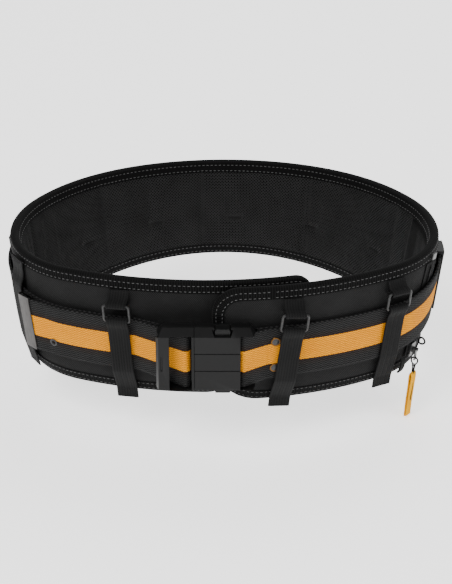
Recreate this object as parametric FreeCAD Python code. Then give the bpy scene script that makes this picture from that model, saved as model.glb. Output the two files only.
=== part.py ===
import FreeCAD, Part
import math
import os

# Padded work belt: a hip-shaped pad closed by a webbing strap with a side-release buckle.
# Origin: centre of the waist opening, half way up the pad.  +Z up, the buckle faces -Y.
# All sizes in millimetres, all angles in degrees.
V = FreeCAD.Vector

# --- the pad's plan ------------------------------------------------------------------------
half_width = 186.0          # outer face of the pad at its widest, mid height
front_depth = 109.0         # outer face of the right flap in front of the origin
back_depth = 159.0          # outer face behind the origin
front_side_radius = 80.0
back_side_radius = 120.0
flap_tuck = 12.0            # the left flap runs this much inside the right one
left_front_shift = -15.0    # the left flap is deepest this far left of the middle
hip_taper = 0.07            # the top is wider than the bottom by this share
# --- the pad's height and layers -----------------------------------------------------------
pad_height = 114.0
back_height = 94.0
pad_thickness = 10.0
skin = 1.0                  # outer cover and inner mesh
binding_thickness = 0.8
binding_width = 9.0
foam_inset = 1.6            # foam stops short of the bound edge
quilt_pitch = 107.0         # spacing of the quilted seams round the back
quilt_seam = 2.0            # gap between two foam blocks
quilt_shift = -21.0         # the middle seam's distance from the back's middle
facing_span = (-26.0, 22.0)         # angles of the smooth panel inside the right hip
right_end_x = -9.5          # the right flap's end, in front
right_end_radii = (24.0, 40.0)      # top corner, bottom corner
left_end_x = (88.0, -2.0)           # the left flap's end: top corner, bottom corner
left_end_radii = (14.0, 31.0)
# --- the webbing ---------------------------------------------------------------------------
webbing_width = 52.0
webbing_thickness = 2.6
webbing_standoff = 2.4      # room behind the webbing for a keeper's back plate
webbing_low, webbing_high = -4.0, 8.0   # centre line's height in front and behind
webbing_rise = (-90.0, 25.0)            # it rises between these distances behind the origin
layer_gap = 0.3
flap_length = 57.0          # the folded right end stops at this x
socket_leg_x, plug_leg_x = 36.5, -76.0  # the webbing leaves the pad here for the buckle
tip_angle, tip_flat, tip_ramp = 219.0, 8.5, 8.0     # free end: last angle, flat part, slope
tip_wall, tip_length, tip_play = 0.7, 14.0, 0.35
eyelet_angle, eyelet_drop, eyelet_hole = 239.0, 12.5, 2.5
rivet_radius, rivet_head, rivet_head_height = 2.0, 4.4, 0.9
rivet_x, rivet_spread = 42.5, 13.5
keeper_angles = (2.0, 166.0)
keeper_span, keeper_plate, keeper_play, keeper_cheek = 20.0, 1.4, 0.5, 3.0
# --- the buckle ----------------------------------------------------------------------------
buckle_left, seam_x, buckle_right = -61.0, -25.5, 30.0
plate_right = 13.6          # the socket's closed plate ends here
buckle_standoff, buckle_depth = 5.2, 15.8       # behind the buckle, and the buckle itself
facet_inset, facet_depth = 4.9, 8.4     # sloping facets round the buckle's front face
corner_cut = 8.0            # cut across the buckle's corners behind the facets
rail = 4.5                  # side walls above and below the webbing
webbing_play = 0.7          # webbing to side wall
bar_radius = 2.2
bar_play = 0.05             # bar in its holes, radial
wrap_play = 0.8             # webbing round a bar
socket_bar_x, plug_bar_x = 17.0, -34.0
tongue_length, tongue_height, tongue_depth = 22.5, 26.0, 6.4
tongue_play = 0.5
mark_edge, mark_width, mark_half, mark_depth = 6.5, 1.8, 7.0, 0.8   # slot on the plug's face
button_width, button_travel = 13.0, 3.0
button_x = -1.5
button_scoop = 3.4          # the finger scoop is this much wider than the button, each side
spring_wire, spring_coil = 0.6, 2.3
button_reach, button_play = 7.0, 0.35
post_offset, post_half = -4.0, 2.0      # the post that pushes the latch arm
spring_offset = 2.9
groove_heights, groove_width, groove_depth = (10.0, -7.0), 0.9, 0.7
# --- loops ---------------------------------------------------------------------------------
strap_width, strap_thickness = 19.0, 2.0
ring_wire, ring_width, ring_height = 2.4, 25.0, 18.0
tab_height, tab_top = 10.0, 11.0    # a tab's height and its distance below the pad's edge
strap_overhang = 7.0                # straps reach below the pad's edge
# --- zipper --------------------------------------------------------------------------------
zip_angle, zip_turn = -33.0, 8.0     # its lower end leans towards the front
zip_tape_width, zip_tape = 9.0, 0.6
zip_coil_radius = 0.6
zip_end_margin = 1.3         # tape ends to the binding
slider_width, slider_length = 8.5, 10.0
slider_clear = 0.3
tag_width, tag_length, tag_thickness = 9.5, 43.0, 2.6
cord_radius = 0.9
cord_loop = 3.2              # radius of the cord's loop through the puller
cord_neck, cord_grip = 12.0, 4.0     # the loop's stem, and how much of it is inside the tag
ear_loop, ear_shift, ear_rise = 3.0, 18.0, 20.0      # cord ear: radius, place beside the zipper
ear_play = 0.3
puller_eye = 6.6             # puller's pin to the slot the cord goes through
puller_slot = 1.95           # half the slot's height, so that the cord can swing
puller_width, puller_thick = 4.2, 1.0


# ================= geometry of the plan: tangent arcs, described by the normal's angle =======
def tangent_arc(side, shift, side_radius, depth):
    """Distance and radius of the big arc that meets two side arcs and is `depth` deep."""
    run = side - side_radius + shift
    drop = depth - side_radius
    distance = (run * run - drop * drop) / (2 * drop)
    return distance, distance + depth, math.degrees(math.atan2(run, distance))


front_c, front_r, front_a = tangent_arc(half_width, 0, front_side_radius, front_depth)
back_c, back_r, back_a = tangent_arc(half_width, 0, back_side_radius, back_depth)
left_c, left_r, left_a = tangent_arc(half_width, left_front_shift, front_side_radius,
                                     front_depth - flap_tuck)
side_f = half_width - front_side_radius
side_b = half_width - back_side_radius
# (first angle, last angle, centre x, centre y, radius); -90 is the front, 90 the back.
ARCS = [(-150, -90 + front_a, 0, front_c, front_r),
        (-90 + front_a, 0, side_f, 0, front_side_radius),
        (0, 90 - back_a, side_b, 0, back_side_radius),
        (90 - back_a, 90 + back_a, 0, -back_c, back_r),
        (90 + back_a, 180, -side_b, 0, back_side_radius),
        (180, 270 - left_a, -side_f, 0, front_side_radius),
        (270 - left_a, 330, left_front_shift, left_c, left_r)]


def arc_at(angle):
    for arc in ARCS:
        if angle <= arc[1] + 1e-9:
            return arc
    return ARCS[-1]


def normal(angle):
    return V(math.cos(math.radians(angle)), math.sin(math.radians(angle)), 0)


def place(angle, out, z):
    """Point at `out` outside the pad's outer face, at height z."""
    _, _, cx, cy, radius = arc_at(angle)
    grow = 1 + hip_taper / pad_height * z
    p = (V(cx, cy, 0) + normal(angle) * radius) * grow + normal(angle) * out
    return V(p.x, p.y, z)


def right_angle_at(x):
    return -90 + math.degrees(math.asin(x / front_r))


def left_angle_at(x):
    return 270 + math.degrees(math.asin((x - left_front_shift) / left_r))


def station(s):
    """Angle at distance s along the outer face from the middle of the back, +X positive."""
    order = ARCS[3::-1] if s > 0 else ARCS[3:]
    left = abs(s)
    here = 90.0
    for lo, hi, _, _, radius in order:
        end = lo if s > 0 else hi
        span = abs(end - here) * math.pi / 180 * radius
        if span >= left:
            step = math.degrees(left / radius)
            return here - step if s > 0 else here + step
        left -= span
        here = end
    return here


def frame(angle, out, z, turn=0.0):
    """Placement with local x along the pad, -y outward and z up the sloping face."""
    o = place(angle, out, z)
    up = (place(angle, out, z + 1) - o).normalize()
    along = V(-math.sin(math.radians(angle)), math.cos(math.radians(angle)), 0)
    outward = along.cross(up).normalize()
    along = up.cross(outward)
    m = FreeCAD.Matrix(along.x, -outward.x, up.x, o.x,
                       along.y, -outward.y, up.y, o.y,
                       along.z, -outward.z, up.z, o.z, 0, 0, 0, 1)
    return FreeCAD.Placement(m).multiply(
        FreeCAD.Placement(V(0, 0, 0), FreeCAD.Rotation(V(0, 1, 0), turn)))


def moved(shape, placement):
    shape = shape.copy()
    shape.Placement = placement.multiply(shape.Placement)
    return shape


def box(x0, x1, y0, y1, z0, z1):
    return Part.makeBox(x1 - x0, y1 - y0, z1 - z0, V(x0, y0, z0))


def rod(radius, length, centre, direction):
    d = V(*direction)
    return Part.makeCylinder(radius, length, V(*centre) - d * (length / 2), d)


def fuse(shapes):
    return shapes[0].multiFuse(shapes[1:]).removeSplitter()


def section(a0, a1, out0, out1, z):
    """Closed wire at one height between two angles and two offsets."""
    inner_joints = [arc[1] for arc in ARCS if a0 + 1e-6 < arc[1] < a1 - 1e-6]
    stops = [a0] + inner_joints + [a1]
    edges = []
    for lo, hi in zip(stops, stops[1:]):
        mid = (lo + hi) / 2
        edges.append(arc_edge(lo, mid, hi, out1, z))
    edges.append(Part.makeLine(place(a1, out1, z), place(a1, out0, z)))
    for lo, hi in reversed(list(zip(stops, stops[1:]))):
        mid = (lo + hi) / 2
        edges.append(arc_edge(hi, mid, lo, out0, z))
    edges.append(Part.makeLine(place(a0, out0, z), place(a0, out1, z)))
    return Part.Wire(edges)


def arc_edge(first, middle, last, out, z):
    return Part.Arc(place(first, out, z), place(middle, out, z), place(last, out, z)).toShape()


def band(a0, a1, out0, out1, z0, z1):
    """A layer of the belt's wall between two angles, sloping with the hip taper."""
    return Part.makeLoft([section(a0, a1, out0, out1, z0), section(a0, a1, out0, out1, z1)],
                         True, True)


# ================= outlines seen from the side and from the front ============================
FAR = 400.0
TALL = pad_height * 0.75


def drop_radius(fall):
    return (back_depth ** 2 + fall ** 2) / (2 * fall)


def height_envelope(grow):
    """Everything between the pad's top and bottom edges, which close in behind."""
    r = drop_radius((pad_height - back_height) / 2)
    half = pad_height / 2
    end = math.radians(12)
    halves = []
    for sign in (1, -1):
        def at(t):
            return V(0, (r + grow) * math.sin(t), sign * (half - r + (r + grow) * math.cos(t)))
        front = V(0, -FAR, sign * (half + grow))
        arc = Part.Arc(at(0), at(end / 2), at(end)).toShape()
        halves.append((front, at(0), at(end), arc))
    (tf, t0, t1, ta), (bf, b0, b1, ba) = halves
    wire = Part.Wire([Part.makeLine(tf, t0), ta, Part.makeLine(t1, b1), ba,
                      Part.makeLine(b0, bf), Part.makeLine(bf, tf)])
    face = Part.Face(wire)
    face.translate(V(-FAR, 0, 0))
    return face.extrude(V(2 * FAR, 0, 0))


def rounded(points, radii):
    """Closed wire in the XZ plane through the corners, each rounded by its radius."""
    edges = []
    joints = []
    n = len(points)
    for i in range(n):
        p = V(points[i][0], 0, points[i][1])
        to_prev = (V(points[i - 1][0], 0, points[i - 1][1]) - p).normalize()
        to_next = (V(points[(i + 1) % n][0], 0, points[(i + 1) % n][1]) - p).normalize()
        if radii[i] == 0:
            joints.append((p, p, None))
            continue
        half_turn = (math.pi - to_prev.getAngle(to_next)) / 2
        reach = radii[i] * math.tan(half_turn)
        bisector = (to_prev + to_next).normalize()
        tip = p + bisector * (radii[i] / math.cos(half_turn) - radii[i])
        joints.append((p + to_prev * reach, p + to_next * reach, tip))
    for i in range(n):
        start, end, tip = joints[i]
        if tip is not None:
            edges.append(Part.Arc(start, tip, end).toShape())
        following = joints[(i + 1) % n][0]
        if (following - end).Length > 1e-6:
            edges.append(Part.makeLine(end, following))
    return Part.Wire(edges)


def end_cutter(side, grow):
    """What lies beyond a flap's rounded end, in front of the wearer."""
    half = pad_height / 2
    if side == "right":
        keep_x = right_end_x + FAR
        corners = [(keep_x, half), (right_end_x, half), (right_end_x, -half), (keep_x, -half)]
        radii = [0, right_end_radii[0], right_end_radii[1], 0]
    else:
        keep_x = left_end_x[1] - FAR
        corners = [(keep_x, -half), (left_end_x[1], -half), (left_end_x[0], half), (keep_x, half)]
        radii = [0, left_end_radii[1], left_end_radii[0], 0]
    wire = rounded(corners, radii)
    if grow:
        wire = wire.makeOffset2D(grow)
    keep = Part.Face(wire)
    keep.translate(V(0, -FAR, 0))
    keep = keep.extrude(V(0, FAR, 0))
    if side == "right":
        block = box(right_end_x - 60, right_end_x + 75, -FAR + 1, -60, -TALL, TALL)
    else:
        block = box(left_end_x[1] - 75, left_end_x[0] + 60, -FAR + 1, -60, -TALL, TALL)
    return block.cut(keep)


right_last = right_angle_at(right_end_x - 3)
left_last = left_angle_at(left_end_x[0] + 3)


def panel(side, a0, a1, out0, out1, grow):
    """A layer of the pad with its true outline, grown or shrunk by `grow`."""
    layer = band(a0, a1, out0, out1, -TALL, TALL).common(height_envelope(grow))
    reaches_end = a0 < -90 if side == "right" else a1 > 270
    if reaches_end:
        layer = layer.cut(end_cutter(side, grow))
    return layer


rise_run = (webbing_rise[1] - webbing_rise[0]) / 2
rise_half = (webbing_high - webbing_low) / 2
rise_radius = (rise_run ** 2 + rise_half ** 2) / (2 * rise_half)
rise_turn = math.asin(rise_run / rise_radius)


def webbing_height(y):
    """Height of the webbing's centre line where it is y behind the origin."""
    y = min(max(y, webbing_rise[0]), webbing_rise[1])
    if y < webbing_rise[0] + rise_run:
        part = y - webbing_rise[0]
        return webbing_low + rise_radius - math.sqrt(rise_radius ** 2 - part ** 2)
    part = webbing_rise[1] - y
    return webbing_high - rise_radius + math.sqrt(rise_radius ** 2 - part ** 2)


def webbing_line(half):
    """Edge of the webbing `half` above its centre line: straight, up, over, straight."""
    def up(t):
        reach = rise_radius - half
        return V(0, webbing_rise[0] + reach * math.sin(t),
                 webbing_low + rise_radius - reach * math.cos(t))

    def over(t):
        reach = rise_radius + half
        return V(0, webbing_rise[1] - reach * math.sin(t),
                 webbing_high - rise_radius + reach * math.cos(t))
    first = V(0, -FAR, webbing_low + half)
    last = V(0, FAR, webbing_high + half)
    t = rise_turn
    edges = [Part.makeLine(first, up(0)), Part.Arc(up(0), up(t / 2), up(t)).toShape(),
             Part.Arc(over(t), over(t / 2), over(0)).toShape(), Part.makeLine(over(0), last)]
    return first, last, edges


def webbing_slab(extra=0.0):
    """The webbing's width as a slab that rises gently towards the back."""
    half = webbing_width / 2 + extra
    first_top, last_top, top = webbing_line(half)
    first_low, last_low, low = webbing_line(-half)
    wire = Part.Wire(Part.__sortEdges__(top + low + [Part.makeLine(first_top, first_low),
                                                     Part.makeLine(last_top, last_low)]))
    face = Part.Face(wire)
    face.translate(V(-FAR, 0, 0))
    return face.extrude(V(2 * FAR, 0, 0))


def webbing_z_at(angle):
    return webbing_height(place(angle, 0, 0).y)


NODES = {}


def node(name, shape):
    NODES[name] = shape


# ================= the pad ===================================================================
def make_pad():
    halves = {"right": (right_last, 90.0), "left": (90.0, left_last)}
    inner = -pad_thickness
    for side, (a0, a1) in halves.items():
        node("cover_" + side, panel(side, a0, a1, -skin, 0, 0))
        node("lining_" + side, panel(side, a0, a1, inner, inner + skin, 0))
        outer = panel(side, a0, a1, inner - binding_thickness, binding_thickness,
                      binding_thickness)
        window = panel(side, a0, a1, inner - 2 * binding_thickness, 2 * binding_thickness,
                       binding_thickness - binding_width)
        body = panel(side, a0, a1, inner, 0, 0)
        node("binding_" + side, outer.cut(window).cut(body))
    seams = [quilt_shift + quilt_pitch * k for k in range(-2, 3)]
    names = ["foam_back_1", "foam_back_2", "foam_back_3", "foam_back_4"]
    for name, s0, s1 in zip(names, seams, seams[1:]):
        foam(name, "right", station(s1 - quilt_seam / 2), station(s0 + quilt_seam / 2))
    left_side = station(seams[0] - quilt_seam / 2)
    right_side = station(seams[-1] + quilt_seam / 2)
    gap = math.degrees(quilt_seam / front_side_radius)
    left_split = 270 - left_a
    right_split = -90 + front_a
    foam("foam_left_side", "left", left_side, left_split - gap)
    foam("foam_left_flap", "left", left_split, left_last)
    foam("foam_right_side", "right", right_split + gap, right_side)
    foam("foam_right_flap", "right", right_last, right_split)
    facing_out = -pad_thickness - layer_gap
    facing = band(*facing_span, facing_out - skin, facing_out, -TALL, TALL)
    node("inner_facing", facing.common(height_envelope(-binding_width - 1)))


def foam(name, side, a0, a1):
    node(name, panel(side, a0, a1, -pad_thickness + skin, -skin, -foam_inset))


# ================= webbing ===================================================================
web_in = webbing_standoff
web_out = web_in + webbing_thickness
over_in = web_out + layer_gap
over_out = over_in + webbing_thickness
tip_in = over_out + 0.6
tip_out = tip_in + webbing_thickness
buckle_back = -front_depth - buckle_standoff
bar_y = buckle_back - buckle_depth * 0.42
wrap_in = bar_radius + wrap_play
wrap_out = wrap_in + webbing_thickness
main_first = right_angle_at(socket_leg_x)
main_last = left_angle_at(plug_leg_x)
flap_first = right_angle_at(flap_length)
tail_last = tip_angle + tip_flat + tip_ramp


def leg(angle, out0, out1, bar_x, near, far):
    """Straight stretch of webbing from the pad's path to a buckle bar."""
    wires = []
    for z in (-TALL, TALL):
        pts = [place(angle, out0, z), place(angle, out1, z), V(bar_x, bar_y - far, z),
               V(bar_x, bar_y - near, z)]
        wires.append(Part.makePolygon(pts + [pts[0]]))
    return Part.makeLoft(wires, True, True)


def wrap(bar_x, opens):
    """Webbing turned round a bar; `opens` is +1 where it opens to the right."""
    ring = Part.makeCylinder(wrap_out, 2 * TALL, V(bar_x, bar_y, -TALL))
    ring = ring.cut(Part.makeCylinder(wrap_in, 2 * TALL, V(bar_x, bar_y, -TALL)))
    x0, x1 = (bar_x, bar_x + FAR) if opens > 0 else (bar_x - FAR, bar_x)
    return ring.cut(box(x0, x1, -FAR, FAR, -TALL, TALL))


def ramp(a0, a1, out_a, out_b):
    """Webbing that moves from one offset at a0 to another at a1."""
    wires = []
    for z in (-TALL, TALL):
        pts = [place(a0, out_a, z), place(a0, out_a + webbing_thickness, z),
               place(a1, out_b + webbing_thickness, z), place(a1, out_b, z)]
        wires.append(Part.makePolygon(pts + [pts[0]]))
    return Part.makeLoft(wires, True, True)


def make_webbing():
    slab = webbing_slab()
    main = [band(main_first, main_last, web_in, web_out, -TALL, TALL),
            leg(main_first, web_in, web_out, socket_bar_x, -wrap_out, -wrap_in),
            wrap(socket_bar_x, 1),
            leg(main_first, over_in, over_out, socket_bar_x, wrap_in, wrap_out),
            band(main_first, flap_first, over_in, over_out, -TALL, TALL),
            leg(main_last, web_in, web_out, plug_bar_x, -wrap_out, -wrap_in)]
    rivet_holes = [moved(rod(rivet_radius + 0.05, 30, (0, 0, 0), (0, 1, 0)), f)
                   for f in rivet_frames(0)]
    main_shape = fuse([piece.common(slab) for piece in main])
    for hole in rivet_holes:
        main_shape = main_shape.cut(hole)
    node("webbing_main", main_shape)
    tail = [wrap(plug_bar_x, -1),
            leg(main_last, over_in, over_out, plug_bar_x, wrap_in, wrap_out),
            band(tail_last, main_last, over_in, over_out, -TALL, TALL),
            ramp(tip_angle + tip_flat, tail_last, tip_in, over_in),
            band(tip_angle, tip_angle + tip_flat, tip_in, tip_out, -TALL, TALL)]
    tail_shape = fuse([piece.common(slab) for piece in tail])
    eyelet_frame = frame(eyelet_angle, over_in, webbing_z_at(eyelet_angle) - eyelet_drop)
    tail_shape = tail_shape.cut(moved(rod(eyelet_hole + 0.05, 20, (0, 0, 0), (0, 1, 0)),
                                      eyelet_frame))
    node("webbing_tail", tail_shape)
    barrel_back = -0.1
    barrel_front = webbing_thickness + 0.1
    barrel = rod(eyelet_hole, barrel_front - barrel_back,
                 (0, -(barrel_front + barrel_back) / 2, 0), (0, 1, 0))
    flange = rod(eyelet_hole + 1.1, 0.5, (0, -barrel_front - 0.25, 0), (0, 1, 0))
    bore = rod(eyelet_hole - 0.5, 20, (0, 0, 0), (0, 1, 0))
    node("tail_eyelet", moved(fuse([barrel, flange]).cut(bore), eyelet_frame))


def rivet_frames(out):
    angle = right_angle_at(rivet_x)
    middle = webbing_z_at(angle)
    return [frame(angle, out, middle + s * rivet_spread) for s in (1, -1)]


def make_rivets():
    shapes = []
    for f in rivet_frames(0):
        front = over_out + 0.25
        back = web_in - 0.25
        shank = rod(rivet_radius, front - back, (0, -(front + back) / 2, 0), (0, 1, 0))
        cap = rod(rivet_head, rivet_head_height, (0, -front - rivet_head_height / 2, 0), (0, 1, 0))
        tail = rod(rivet_head, rivet_head_height, (0, -back + rivet_head_height / 2, 0), (0, 1, 0))
        shapes.append(moved(fuse([shank, cap, tail]), f))
    node("webbing_rivets", Part.makeCompound(shapes))


def make_tip():
    """Folded metal clip over the strap's end, one side open towards the strap."""
    half = webbing_width / 2 + 1.0
    f = frame(tip_angle + tip_flat / 2, tip_in, webbing_z_at(tip_angle + tip_flat / 2))
    out0 = -tip_play - tip_wall
    out1 = webbing_thickness + tip_play + tip_wall
    x0, x1 = -tip_length / 2 - 1.0, tip_length / 2 - 1.0
    shell = box(x0, x1, -out1, -out0, -half, half)
    shell = shell.makeFillet(0.5, [e for e in shell.Edges if abs(e.Length - 2 * half) < 1e-6])
    slot = box(x0 + tip_wall, FAR, -out1 + tip_wall, -out0 - tip_wall, -FAR, FAR)
    node("webbing_tip", moved(shell.cut(slot), f))


def make_keeper(name, angle):
    """Flat moulded loop round the webbing: two plates joined by cheeks above and below."""
    radius = arc_at(angle)[4]
    half = math.degrees(keeper_span / 2 / radius)
    back0 = web_in - keeper_play - keeper_plate
    front1 = web_out + keeper_play + keeper_plate + 0.8
    middle = webbing_z_at(angle)
    reach = webbing_width / 2 + keeper_play + keeper_cheek
    z0, z1 = middle - reach - 1, middle + reach + 1
    outside = band(angle - half, angle + half, back0, front1, z0, z1)
    inside = band(angle - 2 * half, angle + 2 * half, web_in - keeper_play,
                  web_out + keeper_play, z0 - 1, z1 + 1)
    shape = outside.common(webbing_slab(keeper_play + keeper_cheek))
    node(name, shape.cut(inside.common(webbing_slab(keeper_play))))


# ================= belt loops ================================================================
def half_height_at(angle):
    y = place(angle, 0, 0).y
    if y <= 0:
        return pad_height / 2
    r = drop_radius((pad_height - back_height) / 2)
    return pad_height / 2 - r + math.sqrt(r * r - y * y)


def make_ring_loop(name, angle, turn, over):
    """Tab, wire ring and strap: the strap hangs from the ring over the webbing."""
    half = half_height_at(angle)
    f = frame(angle, 0, 0, turn)
    t = strap_thickness
    top = half - tab_top
    ring_out = over + t + ring_wire / 2 + 0.4
    bar_top = top - tab_height + ring_wire
    bar_low = bar_top - ring_height + ring_wire
    hold = ring_wire / 2 + 0.1
    back = 0.35
    # the tab: sewn flat to the pad at its top, turned round the ring's upper bar
    outer = rod(hold + 1.2, strap_width - 1, (0, -ring_out, bar_top), (1, 0, 0))
    arm = profile_points([(back, top), (back + 1.6, top), (ring_out + hold + 1.2, bar_top),
                          (ring_out, bar_top - hold - 1.2), (back, bar_top - hold - 1.2 - 2)],
                         strap_width - 1)
    hole = rod(hold, strap_width + 2, (0, -ring_out, bar_top), (1, 0, 0))
    node("loop_tab_" + name, moved(fuse([outer, arm]).cut(hole), f))
    # the ring: a closed rectangle of round wire
    x = ring_width / 2 - ring_wire / 2
    r = ring_wire / 2
    corners = [V(-x, -ring_out, bar_top), V(x, -ring_out, bar_top), V(x, -ring_out, bar_low),
               V(-x, -ring_out, bar_low)]
    parts = [Part.makeSphere(r, c) for c in corners]
    for c0, c1 in zip(corners, corners[1:] + corners[:1]):
        parts.append(Part.makeCylinder(r, (c1 - c0).Length, c0, c1 - c0))
    node("loop_ring_" + name, moved(fuse(parts), f))
    # the strap: round the lower bar, down over the webbing, in to the pad's lower edge
    low_edge = webbing_z_at(angle) - webbing_width / 2 - 3
    foot_out = binding_thickness + 0.35
    eye = rod(hold + t, strap_width, (0, -ring_out, bar_low), (1, 0, 0))
    eye_hole = rod(hold, strap_width + 2, (0, -ring_out, bar_low), (1, 0, 0))
    run = profile_points([(ring_out - hold - t, bar_low), (ring_out - hold, bar_low),
                          (over + t, low_edge), (foot_out + t, -half + 6),
                          (foot_out + t, -half - strap_overhang),
                          (foot_out, -half - strap_overhang), (foot_out, -half + 5),
                          (over, low_edge)], strap_width)
    node("loop_strap_" + name, moved(fuse([eye.cut(eye_hole), run]).cut(eye_hole), f))


def profile_points(points, width):
    pts = [V(-width / 2, -out, z) for out, z in points]
    return Part.Face(Part.makePolygon(pts + [pts[0]])).extrude(V(width, 0, 0))


def make_plain_loop(name, angle, over, width):
    """A strap sewn to the pad above and below the webbing."""
    half = half_height_at(angle)
    middle = webbing_z_at(angle)
    t = strap_thickness
    hi = middle + webbing_width / 2 + 2.5
    lo = middle - webbing_width / 2 - 2.5
    top = half - 4.0
    near = binding_thickness + 0.3
    foot = binding_thickness + near
    shape = profile_points([(near, top), (near + t, top), (near + t, min(hi + 8, top - 2)),
                            (over + t, hi), (over + t, lo), (foot + t, -half + 5),
                            (foot + t, -half + 1), (foot, -half + 1), (foot, -half + 4),
                            (over, lo), (over, hi), (near, min(hi + 7, top - 3))], width)
    node(name, moved(shape, frame(angle, 0, 0)))


ring_loops = [("left", left_angle_at(-88.0), 0.0, over_out + layer_gap + 0.6),
              ("middle", right_angle_at(54.0), 4.5, over_out + rivet_head_height + 0.6),
              ("right", -60.0, 0.0, web_out + layer_gap)]
plain_loops = [("side_loop", 211.0, web_out + layer_gap),
               ("rear_loop_left", 128.0, web_out + layer_gap),
               ("rear_loop_middle", 90.0, web_out + layer_gap),
               ("rear_loop_right", 52.0, web_out + layer_gap)]


# ================= buckle ====================================================================
buckle_z = webbing_height(-front_depth - 10)
inner_half = webbing_width / 2 + webbing_play
outer_half = inner_half + rail
back_y = buckle_back
front_y = buckle_back - buckle_depth
mid_y = bar_y
tongue_y = (mid_y + tongue_depth / 2, mid_y - tongue_depth / 2)


def outline(x0, x1, half, cut_left, cut_right):
    """Plan of a buckle half seen from the front, with cut corners."""
    pts = []
    for x, sign, cut in ((x0, -1, cut_left), (x1, 1, cut_right)):
        pts.append((x - sign * cut, x, cut))
    (xl, xa, cl), (xr, xb, cr) = pts
    ring = [(xl, -half), (xr, -half), (xb, -half + cr), (xb, half - cr), (xr, half), (xl, half),
            (xa, half - cl), (xa, -half + cl)]
    clean = []
    for p in ring:
        if not clean or abs(p[0] - clean[-1][0]) + abs(p[1] - clean[-1][1]) > 1e-6:
            clean.append(p)
    return clean


def slab_from(points, y0, y1):
    pts = [V(x, y0, buckle_z + z) for x, z in points]
    face = Part.Face(Part.makePolygon(pts + [pts[0]]))
    return face.extrude(V(0, y1 - y0, 0))


def facetted(x0, x1, cut_left, cut_right, y_back):
    """Extruded outline whose front is a plain rectangle set in behind sloping facets."""
    points = outline(x0, x1, outer_half, cut_left, cut_right)
    rim_y = front_y + facet_depth
    lower = slab_from(points, y_back, rim_y)
    face_x = (x0 + (facet_inset if cut_left else 0), x1 - (facet_inset if cut_right else 0))
    face_half = outer_half - facet_inset
    rim = [V(x, rim_y, buckle_z + z) for x, z in points]
    face = [V(x, front_y, buckle_z + z) for x in face_x for z in (-face_half, face_half)]
    return fuse([lower, hull(rim, face)])


def hull(rim, face):
    """Solid between a rim polygon and the rectangle in front of it."""
    low_left, high_left, low_right, high_right = face
    ring = [low_left, low_right, high_right, high_left]
    faces = [Part.Face(Part.makePolygon(rim + rim[:1])), Part.Face(Part.makePolygon(ring + ring[:1]))]
    count = len(rim)
    nearest = [min(ring, key=lambda q: (q - p).Length) for p in rim]
    for i in range(count):
        p, q = rim[i], rim[(i + 1) % count]
        a, b = nearest[i], nearest[(i + 1) % count]
        corners = [p, q, b] if a is b else [p, q, b, a]
        faces.append(Part.Face(Part.makePolygon(corners + corners[:1])))
    return Part.makeSolid(Part.makeShell(faces))


button_half = button_width / 2
post_x = button_x + post_offset
spring_x = button_x + spring_offset
button_front = front_y + 3.2
button_back = back_y - 3.0
spring_z0 = outer_half - button_reach - 3.6


def make_buckle():
    zc = buckle_z
    split_y = mid_y
    front = facetted(seam_x, buckle_right, 0.0, corner_cut, split_y)
    back = slab_from(outline(seam_x, buckle_right, outer_half, 0.0, corner_cut), back_y, split_y)
    # room for the webbing at the open end, and for the tongue in the closed end
    bay = box(plate_right, FAR, -FAR, FAR, zc - inner_half, zc + inner_half)
    behind = box(socket_bar_x - wrap_out - 0.5, FAR, split_y - wrap_out - 0.5, FAR,
                 zc - inner_half, zc + inner_half)
    pocket = box(-FAR, seam_x + tongue_length + 1.5, tongue_y[1] - tongue_play,
                 tongue_y[0] + tongue_play, zc - tongue_height / 2 - tongue_play,
                 zc + tongue_height / 2 + tongue_play)
    bays = []
    for sign in (1, -1):
        z_out = zc + sign * (outer_half + 2)
        z_in = zc + sign * spring_z0
        lo, hi = min(z_in, z_out), max(z_in, z_out)
        bays.append(box(button_x - button_half - button_play, button_x + button_half + button_play,
                        button_front - button_play, button_back + button_play, lo, hi))
        z_post = zc + sign * (tongue_height / 2)
        lo, hi = min(z_post, z_in), max(z_post, z_in)
        bays.append(box(post_x - post_half - button_play, post_x + post_half + button_play,
                        mid_y - post_half - button_play, mid_y + post_half + button_play, lo, hi))
        near, far = button_half + button_play, button_half + button_scoop
        deep, high = sign * (outer_half - facet_inset), sign * (outer_half + 1)
        bays.append(slab_from([(button_x - near, deep), (button_x + near, deep),
                               (button_x + far, high), (button_x - far, high)],
                              front_y - 1, mid_y - post_half))
    bar_hole = rod(bar_radius + bar_play, 2 * (inner_half + 3.0), (socket_bar_x, bar_y, zc),
                   (0, 0, 1))
    for name, shape in (("socket_front", front), ("socket_back", back)):
        for cutter in [bay, behind, pocket, bar_hole] + bays:
            shape = shape.cut(cutter)
        if name == "socket_front":
            for height in groove_heights:
                shape = shape.cut(box(seam_x - 1, plate_right + 1, front_y - 1,
                                      front_y + groove_depth, zc + height - groove_width / 2,
                                      zc + height + groove_width / 2))
        node(name, shape)
    node("socket_bar", rod(bar_radius, 2 * (inner_half + 3.0) - 0.2, (socket_bar_x, bar_y, zc),
                           (0, 0, 1)))
    make_plug(zc)
    make_buttons(zc)


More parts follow.
